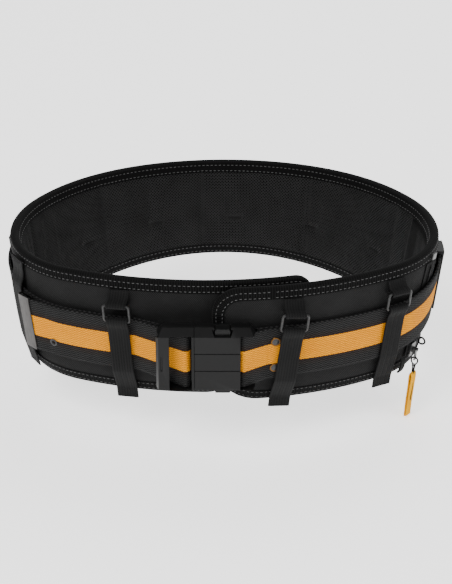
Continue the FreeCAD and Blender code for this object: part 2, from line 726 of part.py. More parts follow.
def make_plug(zc):
    plate = facetted(buckle_left, seam_x - 0.3, corner_cut, 0.0, back_y)
    inside = box(buckle_left - 1, plug_bar_x + wrap_out + 0.5, front_y + 4.2, FAR,
                 zc - inner_half, zc + inner_half)
    window = box(buckle_left + 14.0, plug_bar_x + wrap_out + 0.5, -FAR, FAR,
                 zc - inner_half, zc + inner_half)
    bar_hole = rod(bar_radius + bar_play, 2 * (inner_half + 3.0), (plug_bar_x, bar_y, zc),
                   (0, 0, 1))
    tongue = box(seam_x - 2.0, seam_x + tongue_length, tongue_y[1], tongue_y[0],
                 zc - tongue_height / 2, zc + tongue_height / 2)
    tongue_edges = [e for e in tongue.Edges
                    if abs(e.CenterOfMass.x - (seam_x + tongue_length)) < 1e-6]
    tongue = tongue.makeChamfer(1.5, tongue_edges)
    plug = fuse([plate.cut(inside).cut(window), tongue])
    for sign in (1, -1):
        z_edge = zc + sign * tongue_height / 2
        depth = sign * 3.2
        lo, hi = min(z_edge - depth, z_edge + depth), max(z_edge - depth, z_edge + depth)
        plug = plug.cut(box(notch_x0, notch_x1, -FAR, FAR, lo, hi))
    mark = box(buckle_left + mark_edge, buckle_left + mark_edge + mark_width, front_y - 1,
               front_y + mark_depth, zc - mark_half, zc + mark_half)
    plug = plug.cut(mark).cut(bar_hole)
    node("plug_body", plug)
    node("plug_bar", rod(bar_radius, 2 * (inner_half + 3.0) - 0.2, (plug_bar_x, bar_y, zc),
                         (0, 0, 1)))


notch_x0, notch_x1 = post_x - 5.5, post_x + 3.5


def make_buttons(zc):
    """Two push buttons; each carries a catch that stands in the tongue's notch."""
    for name, sign in (("upper", 1), ("lower", -1)):
        z1 = outer_half + 0.6
        z0 = outer_half - button_reach
        cap = box(button_x - button_half, button_x + button_half, button_front, button_back,
                  z0, z1)
        rim = [e for e in cap.Edges if abs(e.CenterOfMass.z - z1) < 1e-6]
        cap = cap.makeChamfer(1.2, rim)
        post = box(post_x - post_half, post_x + post_half, mid_y - post_half, mid_y + post_half,
                   tongue_height / 2 + tongue_play + button_travel + 0.6, z0)
        seat = rod(spring_coil + 0.6, 1.2, (spring_x, mid_y, z0 + 0.5), (0, 0, 1))
        shape = fuse([cap, post]).cut(seat)
        low = spring_z0 + 0.1
        high = z0 + 1.0
        spring = spring_coil_shape(low, high)
        if sign < 0:
            shape = shape.mirror(V(0, 0, 0), V(0, 0, 1))
            spring = spring.mirror(V(0, 0, 0), V(0, 0, 1))
        shape.translate(V(0, 0, zc))
        spring.translate(V(0, 0, zc))
        node("button_" + name, shape)
        node("button_spring_" + name, spring)


def spring_coil_shape(low, high):
    """Compression spring as a sleeve of its outer and inner diameter."""
    outer = Part.makeCylinder(spring_coil, high - low, V(spring_x, mid_y, low))
    return outer.cut(Part.makeCylinder(spring_coil - spring_wire, high - low + 2,
                                       V(spring_x, mid_y, low - 1)))


# ================= zipper ====================================================================
zip_half = pad_height / 2 - binding_width - zip_end_margin
tape_out = 0.25
chain_out = tape_out + zip_tape + zip_coil_radius + 0.05
slider_rest = -zip_half + 4.2


def make_zipper():
    f = frame(zip_angle, 0, 0, zip_turn)
    t0, t1 = tape_out, tape_out + zip_tape
    gap = 0.25
    for name, sign in (("front", -1), ("rear", 1)):
        inner = sign * gap
        outer = sign * (gap + zip_tape_width)
        x0, x1 = min(inner, outer), max(inner, outer)
        node("zipper_tape_" + name,
             moved(box(x0, x1, -t1, -t0, -zip_half, zip_half), f))
        x = sign * (zip_coil_radius + 0.1)
        node("zipper_coil_" + name,
             moved(rod(zip_coil_radius, 2 * zip_half - 8, (x, -chain_out, 0), (0, 0, 1)), f))
    over = binding_thickness + 0.1
    stop = box(-3.4, 3.4, -over - 1.6, -over, pad_height / 2 - 7.5, pad_height / 2 - 1.5)
    node("zipper_top_stop", moved(stop.makeChamfer(0.5, stop.Edges[:4]), f))
    box_end = box(-3.2, 3.2, -chain_out - 1.2, -t1 - 0.05, -zip_half, -zip_half + 3.4)
    node("zipper_bottom_stop", moved(box_end.makeChamfer(0.5, box_end.Edges[:4]), f))
    make_slider(f)


def make_slider(f):
    half_w = slider_width / 2
    top = slider_rest + slider_length
    low_out = t_face() + 0.2
    high_out = chain_out + zip_coil_radius + slider_clear + 1.0
    body = box(-half_w, half_w, -high_out, -low_out, slider_rest, top)
    body = body.makeFillet(1.4, [e for e in body.Edges
                                 if abs(e.Length - (high_out - low_out)) < 1e-6])
    channel = box(-2 * zip_coil_radius - 0.1 - slider_clear, 2 * zip_coil_radius + 0.1
                  + slider_clear, -chain_out - zip_coil_radius - slider_clear, 0,
                  slider_rest - 1, top + 1)
    body = body.cut(channel)
    pin_out = high_out + 3.2
    pin_z = slider_rest + 3.2
    lugs = [box(x - 0.6, x + 0.6, -pin_out - 1.1, -high_out + 0.3, pin_z - 1.6, pin_z + 1.6)
            for x in (-2.6, 2.6)]
    pin = rod(0.6, 5.2, (0, -pin_out, pin_z), (1, 0, 0))
    node("zipper_slider", moved(fuse([body, pin] + lugs), f))
    # the puller: a flat metal leaf, its eye round the slider's pin, hanging plumb
    g = plumb(f, V(0, -pin_out, pin_z))
    neck = box(-1.8, 1.8, -puller_thick / 2, puller_thick / 2, -4.0, 0)
    leaf = box(-puller_width / 2, puller_width / 2, -puller_thick / 2, puller_thick / 2,
               -puller_eye - puller_slot - 0.65, -3.6)
    eye = rod(1.1, 3.6, (0, 0, 0), (1, 0, 0))
    hole = rod(0.66, 6, (0, 0, 0), (1, 0, 0))
    slot = box(-cord_radius - 0.2, cord_radius + 0.2, -2, 2, -puller_eye - puller_slot,
               -puller_eye + puller_slot)
    node("zipper_puller", moved(fuse([neck, leaf, eye]).cut(hole).cut(slot), g))
    make_tag(g)


def t_face():
    return tape_out + zip_tape


def plumb(f, point):
    """Placement at a point of frame f that keeps f's x axis and hangs straight down from it."""
    along = f.Rotation.multVec(V(1, 0, 0))
    up = (V(0, 0, 1) - along * along.z).normalize()
    inward = up.cross(along)
    o = f.multVec(point)
    m = FreeCAD.Matrix(along.x, inward.x, up.x, o.x,
                       along.y, inward.y, up.y, o.y,
                       along.z, inward.z, up.z, o.z, 0, 0, 0, 1)
    return FreeCAD.Placement(m)


def make_tag(g):
    """Cord loop through the puller and the folded webbing tag sewn over its ends."""
    ring = Part.makeTorus(cord_loop, cord_radius, V(0, 0, -puller_eye - cord_loop), V(1, 0, 0))
    neck_z = -puller_eye - 2 * cord_loop
    neck = rod(cord_radius, cord_neck, (0, 0, neck_z - cord_neck / 2), (0, 0, 1))
    node("pull_cord", moved(fuse([ring, neck]), g))
    top = neck_z - cord_neck + cord_grip
    tag = box(-tag_width / 2, tag_width / 2, -tag_thickness / 2, tag_thickness / 2,
              top - tag_length, top)
    tag = tag.makeFillet(1.2, [e for e in tag.Edges if abs(e.Length - tag_width) < 1e-6])
    tag = tag.cut(rod(cord_radius + 0.05, 30, (0, 0, top + 10), (0, 0, 1)))
    node("pull_tag", moved(tag, g))


def make_zip_trim():
    """The folded fabric tab over the zipper's lower end, and the small cord ear beside it."""
    f = frame(zip_angle, 0, 0, zip_turn)
    base = binding_thickness + 0.3
    z = -pad_height / 2
    tab = profile_points([(base, z + 13), (base + 2.2, z + 12), (base + 2.6, z + 1),
                          (base, z - 0.5)], 8.0)
    tab.translate(V(-16.0, 0, 0))
    node("zipper_end_tab", moved(tab, f))
    lean = math.radians(zip_turn)
    beside = ear_shift * math.cos(lean) + (z + ear_rise) * math.sin(lean)
    sag = front_side_radius - math.sqrt(front_side_radius ** 2 - beside ** 2)
    ear_out = ear_loop + cord_radius + ear_play - sag
    ear = Part.makeTorus(ear_loop, cord_radius, V(ear_shift, -ear_out, z + ear_rise),
                         V(1, 0, 0))
    node("cord_ear", moved(ear, f))


def main():
    make_pad()
    make_webbing()
    make_rivets()
    make_tip()
    make_keeper("keeper_right", keeper_angles[0])
    make_keeper("keeper_left", keeper_angles[1])
    for name, angle, turn, over in ring_loops:
        make_ring_loop(name, angle, turn, over)
    for name, angle, over in plain_loops:
        make_plain_loop(name, angle, over, strap_width)
    make_buckle()
    make_zipper()
    make_zip_trim()
    os.makedirs("parts", exist_ok=True)
    for name, shape in NODES.items():
        if not shape.isValid():
            print("not valid:", name)
        print(name, len(shape.Solids), round(shape.Volume), flush=True)
        shape.exportStep("parts/" + name + ".step")
    print(len(NODES), "nodes")


main()
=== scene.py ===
"""Padded work belt: cloth, webbing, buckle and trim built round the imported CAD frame.

Lengths inside this file are millimetres until a mesh is made, and the frame's are metres.
"""
import math
import random

import bmesh
import bpy
import numpy as np
from mathutils import Matrix, Vector, noise


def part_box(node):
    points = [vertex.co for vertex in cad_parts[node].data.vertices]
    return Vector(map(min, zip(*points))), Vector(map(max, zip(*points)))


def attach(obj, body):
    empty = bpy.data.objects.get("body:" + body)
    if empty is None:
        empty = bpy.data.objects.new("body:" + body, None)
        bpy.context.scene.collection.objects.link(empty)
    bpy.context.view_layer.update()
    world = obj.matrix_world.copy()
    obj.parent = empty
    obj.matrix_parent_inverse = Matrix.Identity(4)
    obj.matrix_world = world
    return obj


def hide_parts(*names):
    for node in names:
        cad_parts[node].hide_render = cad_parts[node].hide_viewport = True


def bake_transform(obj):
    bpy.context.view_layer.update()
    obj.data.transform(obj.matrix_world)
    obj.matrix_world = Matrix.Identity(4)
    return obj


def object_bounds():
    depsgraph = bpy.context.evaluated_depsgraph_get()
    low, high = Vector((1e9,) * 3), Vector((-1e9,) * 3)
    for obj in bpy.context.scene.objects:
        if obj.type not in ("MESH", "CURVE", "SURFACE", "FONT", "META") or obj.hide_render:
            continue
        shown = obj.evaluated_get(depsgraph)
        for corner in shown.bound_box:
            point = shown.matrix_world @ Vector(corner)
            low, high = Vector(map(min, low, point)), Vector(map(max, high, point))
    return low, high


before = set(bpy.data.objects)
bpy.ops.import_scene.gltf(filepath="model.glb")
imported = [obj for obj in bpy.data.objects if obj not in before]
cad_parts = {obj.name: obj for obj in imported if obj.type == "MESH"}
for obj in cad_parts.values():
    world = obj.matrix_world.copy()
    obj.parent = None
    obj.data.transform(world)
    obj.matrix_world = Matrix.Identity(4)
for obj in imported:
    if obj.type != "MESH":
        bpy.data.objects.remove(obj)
cad_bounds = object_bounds()
MM = 0.001
rng = random.Random(7)


def add_object(name, data):
    """A new object of that data, put in the scene."""
    obj = bpy.data.objects.new(name, data)
    bpy.context.scene.collection.objects.link(obj)
    return obj


# ============================== camera, world and lights ====================================
def look_at(obj, target):
    obj.rotation_euler = (Vector(target) - obj.location).to_track_quat("-Z", "Y").to_euler()


def make_camera():
    rise, distance = 0.52, 1.710            # radians above the floor, and metres away
    data = bpy.data.cameras.new("camera")
    data.lens = 115.95
    data.shift_x, data.shift_y = 0.0027, -0.0132
    camera = add_object("camera", data)
    camera.location = (0, -distance * math.cos(rise), distance * math.sin(rise))
    look_at(camera, (0, 0, 0))
    bpy.context.scene.camera = camera


def area_light(name, place, size, power, target=(0, 0, 0)):
    data = bpy.data.lights.new(name, "AREA")
    data.energy = power
    data.size = size
    light = add_object(name, data)
    light.location = place
    look_at(light, target)


make_camera()
area_light("key", (-0.9, -1.3, 1.9), 1.2, 42)
area_light("fill", (1.6, -1.0, 1.3), 1.6, 16)
area_light("back", (0.4, 1.6, 1.7), 1.4, 24)
world = bpy.data.worlds.new("studio")
world.use_nodes = True
world.node_tree.nodes["Background"].inputs["Color"].default_value = (1, 1, 1, 1)
world.node_tree.nodes["Background"].inputs["Strength"].default_value = 0.45
bpy.context.scene.world = world


# ============================== the pad's plan, as the CAD lays it out ======================
HALF_WIDTH, FRONT_DEPTH, BACK_DEPTH = 186.0, 109.0, 159.0
FRONT_SIDE_RADIUS, BACK_SIDE_RADIUS = 80.0, 120.0
FLAP_TUCK, LEFT_SHIFT = 12.0, -15.0
HIP_TAPER = 0.07
PAD_HEIGHT, BACK_HEIGHT = 114.0, 94.0
PAD_THICKNESS = 10.0
RIGHT_END_X, RIGHT_RADII = -9.5, (24.0, 40.0)
LEFT_END_X, LEFT_RADII = (88.0, -2.0), (14.0, 31.0)
QUILT_PITCH, QUILT_START = 107.0, -21.0
WEBBING_WIDTH, WEBBING_THICK, WEBBING_STANDOFF = 52.0, 2.6, 2.4
WEBBING_LOW, WEBBING_HIGH = -4.0, 8.0
WEBBING_RISE = (-90.0, 25.0)
LAYER_GAP = 0.3


def tangent_arc(side, shift, side_radius, depth):
    """Distance, radius and half angle of the big arc between two side arcs."""
    run = side - side_radius + shift
    drop = depth - side_radius
    distance = (run * run - drop * drop) / (2 * drop)
    return distance, distance + depth, math.degrees(math.atan2(run, distance))


FRONT_C, FRONT_R, FRONT_A = tangent_arc(HALF_WIDTH, 0, FRONT_SIDE_RADIUS, FRONT_DEPTH)
BACK_C, BACK_R, BACK_A = tangent_arc(HALF_WIDTH, 0, BACK_SIDE_RADIUS, BACK_DEPTH)
LEFT_C, LEFT_R, LEFT_A = tangent_arc(HALF_WIDTH, LEFT_SHIFT, FRONT_SIDE_RADIUS,
                                     FRONT_DEPTH - FLAP_TUCK)
SIDE_F = HALF_WIDTH - FRONT_SIDE_RADIUS
SIDE_B = HALF_WIDTH - BACK_SIDE_RADIUS
# first angle, last angle, centre x, centre y, radius; -90 is the front and 90 the back
ARCS = [(-150, -90 + FRONT_A, 0, FRONT_C, FRONT_R),
        (-90 + FRONT_A, 0, SIDE_F, 0, FRONT_SIDE_RADIUS),
        (0, 90 - BACK_A, SIDE_B, 0, BACK_SIDE_RADIUS),
        (90 - BACK_A, 90 + BACK_A, 0, -BACK_C, BACK_R),
        (90 + BACK_A, 180, -SIDE_B, 0, BACK_SIDE_RADIUS),
        (180, 270 - LEFT_A, -SIDE_F, 0, FRONT_SIDE_RADIUS),
        (270 - LEFT_A, 330, LEFT_SHIFT, LEFT_C, LEFT_R)]


def arc_at(angle):
    for arc in ARCS:
        if angle <= arc[1] + 1e-9:
            return arc
    return ARCS[-1]


def normal(angle):
    return Vector((math.cos(math.radians(angle)), math.sin(math.radians(angle)), 0))


def place(angle, out, z):
    """Point `out` outside the pad's outer face at height z."""
    _, _, cx, cy, radius = arc_at(angle)
    grow = 1 + HIP_TAPER / PAD_HEIGHT * z
    p = (Vector((cx, cy, 0)) + normal(angle) * radius) * grow + normal(angle) * out
    p.z = z
    return p


def right_angle_at(x):
    return -90 + math.degrees(math.asin(x / FRONT_R))


def left_angle_at(x):
    return 270 + math.degrees(math.asin((x - LEFT_SHIFT) / LEFT_R))


def distance_at(angle):
    """Distance along the outer face from the middle of the back; +X is positive."""
    total = 0.0
    for lo, hi, _, _, radius in ARCS:
        a, b = max(lo, min(angle, 90)), min(hi, max(angle, 90))
        if b > a:
            total += math.radians(b - a) * radius
    return total if angle < 90 else -total


def angle_at(s):
    order = ARCS[3::-1] if s > 0 else ARCS[3:]
    left, here = abs(s), 90.0
    for lo, hi, _, _, radius in order:
        end = lo if s > 0 else hi
        span = math.radians(abs(end - here)) * radius
        if span >= left:
            step = math.degrees(left / radius)
            return here - step if s > 0 else here + step
        left -= span
        here = end
    return here


def half_height(angle):
    y = place(angle, 0, 0).y
    fall = (PAD_HEIGHT - BACK_HEIGHT) / 2
    r = (BACK_DEPTH ** 2 + fall ** 2) / (2 * fall)
    return PAD_HEIGHT / 2 if y <= 0 else PAD_HEIGHT / 2 - r + math.sqrt(r * r - y * y)


def webbing_height(y):
    """Height of the webbing's centre line where it is y behind the origin."""
    run = (WEBBING_RISE[1] - WEBBING_RISE[0]) / 2
    half = (WEBBING_HIGH - WEBBING_LOW) / 2
    radius = (run ** 2 + half ** 2) / (2 * half)
    y = min(max(y, WEBBING_RISE[0]), WEBBING_RISE[1])
    if y < WEBBING_RISE[0] + run:
        return WEBBING_LOW + radius - math.sqrt(radius ** 2 - (y - WEBBING_RISE[0]) ** 2)
    return WEBBING_HIGH - radius + math.sqrt(radius ** 2 - (WEBBING_RISE[1] - y) ** 2)


def pad_frame(angle, out, z, turn=0.0):
    """Matrix with x along the pad, -y outward and z up the sloping face."""
    o = place(angle, out, z)
    up = (place(angle, out, z + 1) - o).normalized()
    along = Vector((-math.sin(math.radians(angle)), math.cos(math.radians(angle)), 0))
    outward = along.cross(up).normalized()
    along = up.cross(outward)
    m = Matrix((along, -outward, up)).transposed().to_4x4()
    m.translation = o
    return m @ Matrix.Rotation(math.radians(turn), 4, "Y")


# ============================== mesh building ===============================================
class Shape:
    """Gathers points in millimetres, faces, cloth coordinates and material numbers."""

    def __init__(self):
        self.points, self.faces, self.cloth, self.slots = [], [], [], []

    def face(self, corners, uv, slot=0):
        self.faces.append(corners)
        self.cloth.extend(uv)
        self.slots.append(slot)

    def grid(self, rows, us, vs, around=False, slot=0, flip=False):
        """Faces between rows of points; around closes each row on itself."""
        base, n = len(self.points), len(rows[0])
        for row in rows:
            self.points.extend(row)
        for i in range(len(rows) - 1):
            for j in range(n if around else n - 1):
                k = (j + 1) % n
                face = [base + i * n + j, base + i * n + k, base + (i + 1) * n + k,
                        base + (i + 1) * n + j]
                uv = [(us[i], vs[j]), (us[i], vs[j + 1]), (us[i + 1], vs[j + 1]),
                      (us[i + 1], vs[j])]
                if flip:
                    face.reverse()
                    uv.reverse()
                self.face(face, uv, slot)
        return base

    def cap(self, ring, slot=0):
        """A fan closes a ring of point numbers."""
        middle = sum((Vector(self.points[i]) for i in ring), Vector()) / len(ring)
        self.points.append(middle)
        last = len(self.points) - 1
        for i in range(len(ring)):
            self.face([ring[i], ring[(i + 1) % len(ring)], last], [(0, 0), (1, 0), (0.5, 1)], slot)

    def tube(self, rows, us, vs, slot=0):
        """Closed skin over rows of closed rings, with both ends capped."""
        n = len(rows[0])
        base = self.grid(rows, us, vs, True, slot)
        self.cap([base + j for j in reversed(range(n))], slot)
        self.cap([base + (len(rows) - 1) * n + j for j in range(n)], slot)

    def build(self, name, materials, smooth=40.0):
        mesh = bpy.data.meshes.new(name)
        mesh.from_pydata([tuple(c * MM for c in p) for p in self.points], [], self.faces)
        layer = mesh.uv_layers.new(name="weave")
        layer.data.foreach_set("uv", np.array(self.cloth, np.float32).ravel())
        mesh.polygons.foreach_set("material_index", self.slots)
        for m in materials:
            mesh.materials.append(m)
        tidy = bmesh.new()
        tidy.from_mesh(mesh)
        bmesh.ops.remove_doubles(tidy, verts=tidy.verts, dist=1e-6)
        bmesh.ops.recalc_face_normals(tidy, faces=tidy.faces)
        tidy.to_mesh(mesh)
        tidy.free()
        mesh.shade_smooth()
        mesh.set_sharp_from_angle(angle=math.radians(smooth))
        return add_object(name, mesh)


def running(points):
    """Distance along a list of points, one value per point."""
    total, out = 0.0, [0.0]
    for a, b in zip(points, points[1:]):
        total += (Vector(b) - Vector(a)).length
        out.append(total)
    return out


def even(points, step):
    """The same line with its points about `step` apart."""
    at = running(points)
    count = max(2, round(at[-1] / step))
    out, k = [], 0
    for i in range(count + 1):
        want = at[-1] * i / count
        while k < len(at) - 2 and at[k + 1] < want:
            k += 1
        t = (want - at[k]) / max(at[k + 1] - at[k], 1e-9)
        out.append(Vector(points[k]).lerp(Vector(points[k + 1]), t))
    return out


def soften(points, rounds=3):
    """Corner cutting that keeps both ends."""
    for _ in range(rounds):
        cut = [points[0]]
        for a, b in zip(points, points[1:]):
            a, b = Vector(a), Vector(b)
            cut += [a.lerp(b, 0.25), a.lerp(b, 0.75)]
        points = cut + [points[-1]]
    return points


def round_angles(sides):
    return [2 * math.pi * k / sides for k in range(sides)]


def wire(shape, points, radius, sides=8, closed=False, slot=0):
    """A round tube along a line of points."""
    rows, n = [], len(points)
    side = None
    for i, p in enumerate(points):
        p = Vector(p)
        before = Vector(points[i - 1]) if i or closed else p
        after = Vector(points[(i + 1) % n]) if i < n - 1 or closed else p
        along = (after - before).normalized()
        if side is None:
            side = along.orthogonal().normalized()
        side = (side - along * side.dot(along)).normalized()
        other = along.cross(side)
        rows.append([p + (side * math.cos(t) + other * math.sin(t)) * radius
                     for t in round_angles(sides)])
    us = running(points)
    vs = [2 * math.pi * radius * k / sides for k in range(sides + 1)]
    if closed:
        us.append(us[-1] + (Vector(points[0]) - Vector(points[-1])).length)
        shape.grid(rows + [rows[0]], us, vs, True, slot)
    else:
        shape.tube(rows, us, vs, slot)


def thicken(obj, thickness):
    """Gives a single face of cloth its thickness, in millimetres, behind that face."""
    thick = obj.modifiers.new("thick", "SOLIDIFY")
    thick.thickness = thickness * MM
    thick.offset = -1.0


# ============================== materials ===================================================
class Maker:
    """Builds one node material; clothwise values come from the mesh's cloth coordinates."""

    def __init__(self, name):
        self.mat = bpy.data.materials.new(name)
        self.mat.use_nodes = True
        self.tree = self.mat.node_tree
        self.shader = self.tree.nodes["Principled BSDF"]

    def node(self, kind, **settings):
        n = self.tree.nodes.new(kind)
        for key, value in settings.items():
            setattr(n, key, value)
        return n

    def put(self, socket, value):
        if isinstance(value, bpy.types.NodeSocket):
            self.tree.links.new(value, socket)
        else:
            socket.default_value = value

    def math(self, operation, a, b=0.0):
        n = self.node("ShaderNodeMath", operation=operation)
        self.put(n.inputs[0], a)
        self.put(n.inputs[1], b)
        return n.outputs[0]

    def scaled(self, value, gain, offset):
        """value * gain + offset."""
        return self.math("ADD", self.math("MULTIPLY", value, gain), offset)

    def lit_height_and_wear(self, height, mottle, wear):
        """Height with `wear` times the mottling, taken about its middle, added: painted light on the
        yarn crowns and painted shade between them, with random mottling.
        """
        return self.math("ADD", height,
                         self.math("MULTIPLY", self.math("SUBTRACT", mottle, 0.5), wear))

    def cloth(self):
        """Sockets for the distances along and across the cloth, in millimetres."""
        uv = self.node("ShaderNodeUVMap", uv_map="weave")
        split = self.node("ShaderNodeSeparateXYZ")
        self.put(split.inputs[0], uv.outputs[0])
        return split.outputs[0], split.outputs[1]

    def noise(self, scale, detail=3.0, stretch=(1, 1, 1)):
        """Fine mottling in the piece's own space; scale is per metre."""
        place_node = self.node("ShaderNodeTexCoord")
        mapping = self.node("ShaderNodeMapping")
        self.put(mapping.inputs["Vector"], place_node.outputs["Object"])
        mapping.inputs["Scale"].default_value = stretch
        n = self.node("ShaderNodeTexNoise")
        self.put(n.inputs["Vector"], mapping.outputs[0])
        n.inputs["Scale"].default_value = scale
        n.inputs["Detail"].default_value = detail
        return n.outputs[0]

    def blend(self, factor, a, b):
        n = self.node("ShaderNodeMix", data_type="RGBA")
        self.put(n.inputs[0], factor)
        self.put(n.inputs[6], a)
        self.put(n.inputs[7], b)
        return n.outputs[2]

    def ramp(self, factor, low, high):
        n = self.node("ShaderNodeMapRange")
        self.put(n.inputs["Value"], factor)
        n.inputs["From Min"].default_value = low
        n.inputs["From Max"].default_value = high
        return n.outputs[0]

    def bump(self, height, depth_mm, strength=1.0):
        n = self.node("ShaderNodeBump")
        n.inputs["Strength"].default_value = strength
        n.inputs["Distance"].default_value = depth_mm * MM
        self.put(n.inputs["Height"], height)
        self.put(self.shader.inputs["Normal"], n.outputs[0])

    def finish(self, colour, roughness, **inputs):
        self.put(self.shader.inputs["Base Color"], colour)
        self.put(self.shader.inputs["Roughness"], roughness)
        for key, value in inputs.items():
            self.shader.inputs[key.replace("_", " ")].default_value = value
        return self.mat


def grey(value, warm=0.0):
    return (value * (1 + warm), value, value * (1 - warm), 1)


def yarn_height(m, along, across, yarn, pick):
    """Warp yarns side by side, each passing over and under the picks in turn."""
    row = m.math("FLOOR", m.math("DIVIDE", across, yarn))
    crown = m.math("ABSOLUTE", m.math("SINE", m.math("MULTIPLY", across, math.pi / yarn)))
    phase = m.math("ADD", m.math("MULTIPLY", along, math.pi / pick),
                   m.math("MULTIPLY", row, math.pi))
    over = m.scaled(m.math("COSINE", phase), 0.5, 0.5)
    return m.math("MULTIPLY", m.math("POWER", crown, 0.6), m.scaled(over, 0.75, 0.25))


def woven(name, dark, light, yarn, pick, depth, roughness=0.72, sheen=0.25, wear=0.35):
    """Plain cloth: painted highlight on the yarn crowns, painted shade between them, with slow
    mottling.
    """
    m = Maker(name)
    along, across = m.cloth()
    height = yarn_height(m, along, across, yarn, pick)
    mottle = m.noise(45.0, 4.0)
    lit = m.lit_height_and_wear(height, mottle, wear)
    # colour from the yarn height: painted highlight on the crowns, painted shade between yarns
    colour = m.blend(m.ramp(lit, 0.0, 1.0), dark, light)
    m.bump(height, depth)
    rough = m.scaled(mottle, 0.15, roughness - 0.08)
    return m.finish(colour, rough, Sheen_Weight=sheen, Sheen_Roughness=0.4,
                    Specular_IOR_Level=0.05)


def striped_webbing(name):
    """Heavy ribbed webbing: black with a centred orange stripe whose edge steps by the pick."""
    yarn, pick = 1.15, 2.2
    half_stripe, step = 10.2, 0.55
    m = Maker(name)
    along, across = m.cloth()
    height = yarn_height(m, along, across, yarn, pick)
    saw = m.math("PINGPONG", m.math("DIVIDE", along, pick), 0.5)
    edge = m.scaled(saw, 2 * step, half_stripe - step / 2)
    inside = m.math("LESS_THAN", m.math("ABSOLUTE", across), edge)
    near = m.ramp(m.math("ABSOLUTE", across), half_stripe + 7.0, half_stripe)
    mottle = m.noise(60.0, 5.0)
    fine = m.noise(900.0, 2.0)
    # painted highlight on the rib crowns and painted shade in the grooves, for the orange and the
    # black alike
    lit = m.lit_height_and_wear(height, fine, 0.5)
    lit = m.ramp(lit, 0.05, 1.0)
    orange = m.blend(lit, (0.34, 0.075, 0.0, 1), (1.0, 0.39, 0.0, 1))
    orange = m.blend(m.math("MULTIPLY", mottle, 0.3), orange, (1.0, 0.46, 0.004, 1))
    black = m.blend(lit, grey(0.0005), grey(0.034))
    brown = m.blend(lit, (0.0012, 0.0006, 0.0004, 1), (0.042, 0.023, 0.015, 1))
    dark = m.blend(m.math("MULTIPLY", near, 0.7), black, brown)
    m.bump(height, 0.45)
    return m.finish(m.blend(inside, dark, orange), m.scaled(mottle, 0.2, 0.5),
                    Sheen_Weight=0.02, Sheen_Roughness=0.4, Specular_IOR_Level=0.05)


def herringbone(name, dark, light, rib=2.4, pick=1.5, depth=0.3):
    """Narrow strap webbing: lengthwise ribs of slanting yarns that turn at each rib."""
    m = Maker(name)
    along, across = m.cloth()
    lean = m.math("PINGPONG", across, rib)
    slant = m.math("ADD", along, lean)
    yarns = m.scaled(m.math("SINE", m.math("MULTIPLY", slant, 2 * math.pi / pick)), 0.5, 0.5)
    rib_height = m.math("ABSOLUTE", m.math("SINE", m.math("MULTIPLY", across, math.pi / rib)))
    height = m.math("ADD", m.math("MULTIPLY", yarns, 0.5),
                    m.math("MULTIPLY", m.math("POWER", rib_height, 0.5), 0.5))
    mottle = m.noise(50.0, 4.0)
    # painted highlight on the ribs and slanting yarns, painted shade between them, with random
    # mottling
    lit = m.lit_height_and_wear(height, mottle, 0.4)
    m.bump(height, depth)
    return m.finish(m.blend(m.ramp(lit, 0.1, 1.1), dark, light),
                    m.scaled(mottle, 0.15, 0.62),
                    Sheen_Weight=0.03, Sheen_Roughness=0.4, Specular_IOR_Level=0.05)


def moulded(name, base, roughness, grain=0.05):
    """Moulded plastic with spark-eroded grain and rubbed patches."""
    m = Maker(name)
    fine = m.noise(2600.0, 2.0)
    rub = m.noise(38.0, 5.0)
    colour = m.blend(rub, grey(base * 0.8), grey(base * 1.25))
    m.bump(fine, grain, 0.6)
    rough = m.scaled(m.math("ADD", rub, m.math("MULTIPLY", fine, 0.5)), 0.16, roughness - 0.12)
    return m.finish(colour, rough, Specular_IOR_Level=0.16)


def metal(name, dark, light, roughness, stretch=(1, 1, 1), scale=900.0, metallic=1.0):
    """Metal with drawn brushing and darker tarnish in patches."""
    m = Maker(name)
    brush = m.noise(scale, 3.0, stretch)
    tarnish = m.noise(110.0, 5.0)
    mixed = m.math("ADD", m.math("MULTIPLY", brush, 0.5), m.math("MULTIPLY", tarnish, 0.5))
    m.bump(brush, 0.03, 0.5)
    return m.finish(m.blend(m.ramp(mixed, 0.3, 0.7), dark, light),
                    m.scaled(mixed, 0.25, roughness - 0.12),
                    Metallic=metallic)


def thread(name, dark, light, pitch=0.8):
    """Twisted sewing thread or braided cord."""
    m = Maker(name)
    along, across = m.cloth()
    twist = m.math("SINE", m.math("MULTIPLY", m.math("ADD", along, across), 2 * math.pi / pitch))
    twist = m.scaled(twist, 0.5, 0.5)
    mottle = m.noise(400.0, 2.0)
    m.bump(twist, 0.15)
    # lighter on the twist's crowns: painted highlight, with painted shade in its grooves, plus random
    # mottling
    return m.finish(m.blend(m.math("ADD", m.math("MULTIPLY", twist, 0.6),
                                   m.math("MULTIPLY", mottle, 0.4)), dark, light), 0.75,
                    Sheen_Weight=0.03, Specular_IOR_Level=0.15)


# each cloth's first grey is painted shade between its yarns, its second painted highlight on their
# crowns
cover_cloth = woven("cover_cloth", grey(0.0014), grey(0.030), 0.85, 0.85, 0.22, 0.8, 0.03)
mesh_cloth = woven("mesh_cloth", grey(0.004), grey(0.048), 0.6, 0.6, 0.10, 0.8, 0.04)
# near-black cloth for the bottoms of holes: painted shade
hole_shade = woven("hole_shade", grey(0.0002), grey(0.0006), 0.6, 0.6, 0.05, 0.9, 0.0)
facing_cloth = woven("facing_cloth", grey(0.0015), grey(0.008), 0.45, 0.45, 0.06, 0.7, 0.04)
tape_cloth = woven("tape_cloth", grey(0.0007), grey(0.008), 1.1, 40.0, 0.22, 0.75, 0.03)
zip_cloth = woven("zip_cloth", grey(0.001), grey(0.009), 0.7, 1.4, 0.15, 0.75, 0.03)
web_cloth = striped_webbing("web_cloth")
